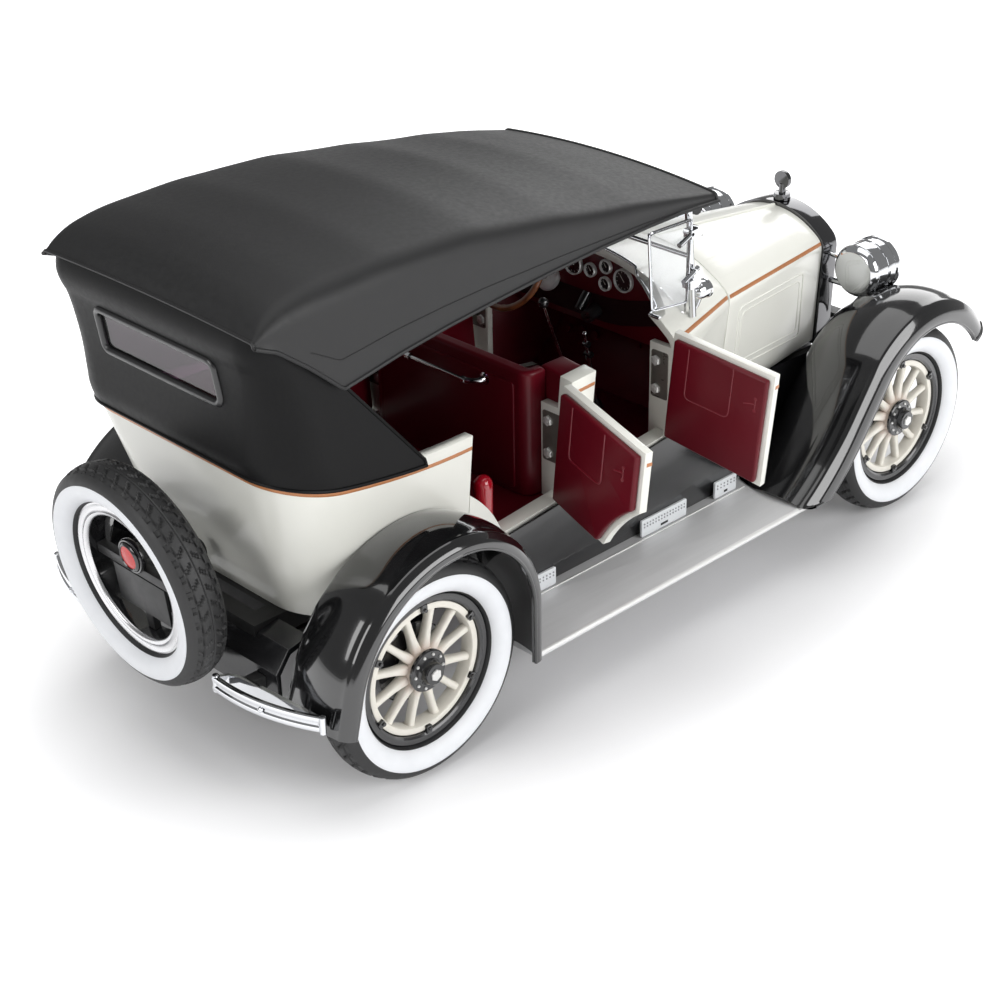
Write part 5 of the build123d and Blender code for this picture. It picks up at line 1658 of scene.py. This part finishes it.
def addBoards():
    b = boardShape
    boards, strips, plates, slots, dots = Shape(), Shape(), Shape(), Shape(), Shape()
    for flip in bothSides:
        (x0, x1), top = b["x"], b["top"]
        corners = [(x0, b["outer"] + b["edge"]), (x1, b["outer"] + b["edge"]), (x1, b["inner"]), (x0, b["inner"])]
        lay = flip @ Matrix.Translation((0, 0, top - b["thick"]))
        boards.slab(roundedOutline(corners, b["corner"], 4), b["thick"] - 0.05, lay, b["rounding"])
        middle = top - b["thick"] / 2
        turns = [pi * k / 14 for k in range(15)]
        bulge = [(b["outer"] + b["edge"] * (1 - sin(a)), middle + b["thick"] / 2 * cos(a)) for a in turns]
        ends = [[(x, y, z) for y, z in bulge] for x in (x0, x1)]
        strips.grid(ends, place=flip)
        strips.capEnds(ends, flip)
        strips.tube([(x, b["lineY"], top) for x in b["lineX"]], b["lineRadius"], 8, place=flip)
        for start, end in b["plates"]:
            lay = flip @ rightFacing(b["plateY"] + b["plateThick"])
            corners = [(start, top + 0.1), (end, top + 0.1), (end, b["plateTop"]), (start, b["plateTop"])]
            plates.slab(roundedOutline(corners, 0.35, 3), b["plateThick"], lay, 0.1)
            margin, count = b["dotMargin"], int((end - start - 1.4) / b["dotStep"])
            for i in range(count):
                for z in b["dotRows"]:
                    x = start + margin + (end - start - 2 * margin) * i / (count - 1)
                    spot = flip @ facing((x, b["plateY"], z), (0, -1, 0))
                    dots.lathe(b["dot"], 8, spot, closed=False)
            f0, f1, z0, z1 = b["slot"]
            s0, s1 = (start + (end - start) * share for share in (f0, f1))
            slots.slab([(s0, z0), (s1, z0), (s1, z1), (s0, z1)], 0.03, flip @ rightFacing(b["plateY"]))
    makePiece("runningBoards", boards, brushedBoard, "car", ["running_boards"])
    makePiece("boardStrips", strips, stripWhite, "car")
    makePiece("scuffPlates", plates, plateSilver, "car", sharp=35)
    makePiece("scuffDots", dots, plateDot, "car", sharp=35)
    makePiece("scuffSlots", slots, coreBlack, "car")
    softCopy("splashPanels", "splash_panels", 0.15, 2, finish=apronBlack)
    skirt = Shape()
    for flip in bothSides:
        for rows in (b["skirt"], b["rearSkirt"]):
            for inset in (0, b["skirtThick"]):
                skirt.grid([[(x, y + inset, z) for x, y, z in row] for row in rows], place=flip)
    makePiece("fenderSkirts", skirt, apronBlack, "car")


addBoards()
print("running boards made")

# lamps: drums with flat backs, lenses, posts and tie bars, small cowl lamps, the tail lamp

lampShape = {
    "at": (80.6, -26.6, 59.4),
    # radius, along
    "drum": [(0, 0), (5.2, 0), (5.5, 0.1), (6.3, 0.95), (6.6, 1.4), (6.68, 2.0), (6.68, 6.3), (6.9, 6.5),
             (6.9, 7.2), (6.7, 7.4), (6.7, 9.0), (7.05, 9.3), (7.1, 9.8), (7.05, 10.3), (6.8, 10.6), (6.0, 10.6),
             (5.9, 9.5)],
    "bowl": [(5.95, 9.5), (5.2, 8.0), (3.8, 6.6), (2.0, 5.7), (0, 5.4)],
    "lens": [(0, 9.6), (5.88, 9.4), (5.88, 9.9), (4.2, 10.25), (2.0, 10.45), (0, 10.5)],
    # post: x, and the height and radius of its rings
    "postX": 85.1, "post": [(46.4, 1.9), (47.6, 1.2), (54.0, 1.0)],
    # bulb: start, end, radius, steps, radius at the end
    "bulb": ((0, 5.5, 0), (0, 7.6, 0), 0.8, 12, 0.6),
    "bar": 53.6, "barInner": -16.5, "barRadius": 0.8,
    "stub": ((84.4, -20.4, 60.6), (84.4, -16.2, 61.0)), "stubRadius": 0.6,
    "beads": (1.9, 5.9), "beadCircle": 6.7, "beadRadius": 0.14,
    "cowlAt": (19.0, -28.6, 74.0),
    # the cowl lamp's arm from its middle, with radius
    "cowlArm": [(0, 0, -1.8, 0.6), (-0.2, 0.5, -3.6, 0.55), (-0.6, 1.6, -5.2, 0.9)],
    "cowlDrum": [(0, -2.3), (1.0, -2.2), (1.6, -1.7), (2.0, -0.8), (2.1, 0.2), (2.1, 1.4), (2.3, 1.6), (2.3, 2.1),
                 (2.0, 2.3), (1.9, 2.1), (0, 2.0)],
    "tailLift": 4.6, "tailRed": 2.5, "tailBack": [(0, -0.28), (3.3, -0.28), (3.3, 0.55), (0, 0.6)],
    "tailRing": [(3.28, -0.2), (3.8, -0.2), (3.9, 0.2), (3.9, 0.7), (3.72, 1.0), (3.42, 1.0), (3.3, 0.8)],
}


def addLamps():
    p = lampShape
    x, y, z = p["at"]
    bright, bowls, lenses = Shape(), Shape(), Shape()
    for flip in bothSides:
        spot = flip @ facing((x, y, z), (1, 0, 0))
        bright.lathe(p["drum"], 64, spot, closed=False)
        bowls.lathe(p["bowl"], 48, spot, closed=False)
        bowls.rod(*p["bulb"], place=spot)
        lenses.lathe(p["lens"], 48, spot, closed=False)
        px = p["postX"]
        bright.tube([(px, y, high) for high, radius in p["post"]], [row[1] for row in p["post"]], 16, place=flip)
        bright.rod((px, y, p["bar"]), (px, p["barInner"], p["bar"]), p["barRadius"], 8, place=flip)
        bright.rod(*p["stub"], p["stubRadius"], 12, place=flip)
        for along in p["beads"]:
            bright.tube(circle(p["beadCircle"], along, 48), p["beadRadius"], 6, closed=True, place=spot)
        cx, cy, cz = p["cowlAt"]
        bright.lathe(p["cowlDrum"], 32, flip @ facing((cx, cy, cz), (1, 0, 0)), closed=False)
        arm = [(cx + ax, cy + ay, cz + az) for ax, ay, az, radius in p["cowlArm"]]
        bright.tube(arm, [row[3] for row in p["cowlArm"]], 10, place=flip)
    makePiece("lampDrums", bright, chromePlate, "car", ["lamps"], sharp=30)
    makePiece("lampBowls", bowls, silverRim, "car")
    makePiece("lampLenses", lenses, lampGlass, "car", ["glass"], sharp=50)
    tail = Shape()
    spot = sparePlace @ Matrix.Translation((0, 0, p["tailLift"]))
    tail.lathe(p["tailRing"], 40, spot)
    tail.lathe(p["tailBack"], 32, spot, closed=False)
    lens = [spot.inverted() @ (v.co / mm) for v in cadNodes["tail_lens"].data.vertices]
    low, high, wide = min(v.y for v in lens), max(v.y for v in lens), max(hypot(v.x, v.z) for v in lens)
    red = p["tailRed"]
    tail.lathe([(red, low), (wide, low), (wide, high - 0.4), (wide - 0.3, high - 0.1), (red + 0.2, high),
                (red, high - 0.2)], 40, spot)
    makePiece("tailRing", tail, blackWheel, "car", sharp=35)
    disc = Shape()
    disc.lathe([(0, low), (red, low), (red, high - 0.25), (red * 0.6, high - 0.1), (0, high)], 40, spot,
               closed=False)
    makePiece("tailDisc", disc, redLens, "car", ["tail_lens"], sharp=50)


addLamps()
print("lamps made")

# radiator core of fine fins, its shell, the bumpers and the spare's carrier

noseShape = {"finStep": 0.75, "finHalf": 0.09, "finProud": 0.22, "shellRound": 0.55}
bumperShape = {
    "arc": [(-116.9, -18.6), (-116.2, -32.0), (-110.9, -46.4)],
    # outwards, height
    "section": [(-1.0, 25.3), (-0.25, 25.2), (0.0, 25.4), (0.14, 25.9), (0.02, 26.4), (-0.3, 26.7), (-0.3, 27.3),
                (0.02, 27.6), (0.14, 28.1), (0.0, 28.6), (-0.25, 28.8), (-1.0, 28.7)],
    "strap": [(-116.0, -19.1), (-113.9, -20.3), (-112.8, -22.6), (-112.3, -28.0), (-111.8, -34.0), (-111.3, -40.0),
              (-110.9, -45.6)],
    "strapHalf": 0.42, "strapZ": (25.5, 28.5), "boltZ": 27.0,
    "bolt": [(0, -0.2), (0.62, -0.2), (0.558, 0.2), (0.31, 0.42), (0, 0.5)],
    "pins": ((-116.3, -19.0), (-110.9, -45.9)), "pinZ": (24.9, 25.1, 28.9, 29.1),
    "pinRadii": [0.5, 0.72, 0.72, 0.5],
    "bracket": (-112.6, -109.1, -26.0, -23.0, 25.5, 28.5),
}


def addNose():
    n = noseShape
    skin = surfaceOf("radiator_core")
    fins = Shape()
    box = [cadNodes["radiator_core"].matrix_world @ Vector(c) / mm for c in cadNodes["radiator_core"].bound_box]
    front = max(c.x for c in box)
    y0, y1 = min(c.y for c in box), max(c.y for c in box)
    z0, z1 = min(c.z for c in box), max(c.z for c in box)

    def onCore(y, z):
        hit = skin.ray_cast(Vector((front + 20, y, z)), Vector((-1, 0, 0)))
        return hit[0] is not None and hit[0].x > front - 0.3

    half, proud = n["finHalf"], n["finProud"]
    for upright in (True, False):
        low, high = (y0, y1) if upright else (z0, z1)
        count = int((high - low) / n["finStep"])
        for i in range(count):
            at = low + (high - low) * (i + 0.5) / count
            across = (z0, z1) if upright else (y0, y1)
            spans = [across[0] + (across[1] - across[0]) * k / 160 for k in range(161)]
            inside = [s for s in spans if (onCore(at, s) if upright else onCore(s, at))]
            if len(inside) < 4:
                continue
            a, b = min(inside), max(inside)
            if upright:
                points = [(front, at + u * half, v) for v in (a, b) for u in (-1, 1)]
            else:
                points = [(front, v, at + u * half) for v in (a, b) for u in (-1, 1)]
            points += [(front + proud, y, z) for x, y, z in points]
            fins.add(points, [(0, 1, 3, 2), (4, 6, 7, 5), (0, 4, 5, 1), (2, 3, 7, 6), (0, 2, 6, 4), (1, 5, 7, 3)])
    makePiece("radiatorFins", fins, coreFin, "car", sharp=20)
    # the shell takes the darkened chrome, a painted dark reflection
    softCopy("radiatorShell", "radiator_shell", n["shellRound"], 4, finish=paintedDarkReflectionChrome)


def addBumpers():
    b = bumperShape
    arc = arcThrough(*b["arc"], 40)
    arcPath = [Vector(p) for p in arc]
    bright, black = Shape(), Shape()
    for flip in bothSides:
        rows = []
        for i, (x, y) in enumerate(arc):
            along = headingAt(arcPath, i)
            out = Vector((along.y, -along.x))
            rows.append([(x + out.x * d, y + out.y * d, z) for d, z in b["section"]])
        bright.grid(rows, closeColumns=True, place=flip)
        bright.capEnds(rows, flip)
        strap = []
        path = [Vector(p) for p in b["strap"]]
        low, high = b["strapZ"]
        for i, p in enumerate(path):
            along = headingAt(path, i)
            out = Vector((along.y, -along.x)) * b["strapHalf"]
            a, c = p + out, p - out
            strap.append([(a.x, a.y, low), (a.x, a.y, high), (c.x, c.y, high), (c.x, c.y, low)])
        bright.grid(strap, closeColumns=True, place=flip)
        for x, y in b["pins"]:
            bright.tube([(x, y, z) for z in b["pinZ"]], b["pinRadii"], 14, place=flip)
        x, y = arc[20]
        spot = flip @ facing((x - 0.1, y, b["boltZ"]), (-1, -0.1, 0))
        bright.lathe(b["bolt"], 14, spot, closed=False)
        x0, x1, y0, y1, z0, z1 = b["bracket"]
        black.slab([(x0, y0), (x1, y0), (x1, y1), (x0, y1)], z1 - z0, flip @ Matrix.Translation((0, 0, z0)), 0.2)
    makePiece("bumpers", bright, chromePlate, "car", ["rear_bumpers"], sharp=30)
    makePiece("bumperBrackets", black, chassisBlack, "car", sharp=35)
    softCopy("spareCarrier", "spare_carrier", 0.2, 2, finish=chassisBlack)


addNose()
addBumpers()
print("nose and rear made")
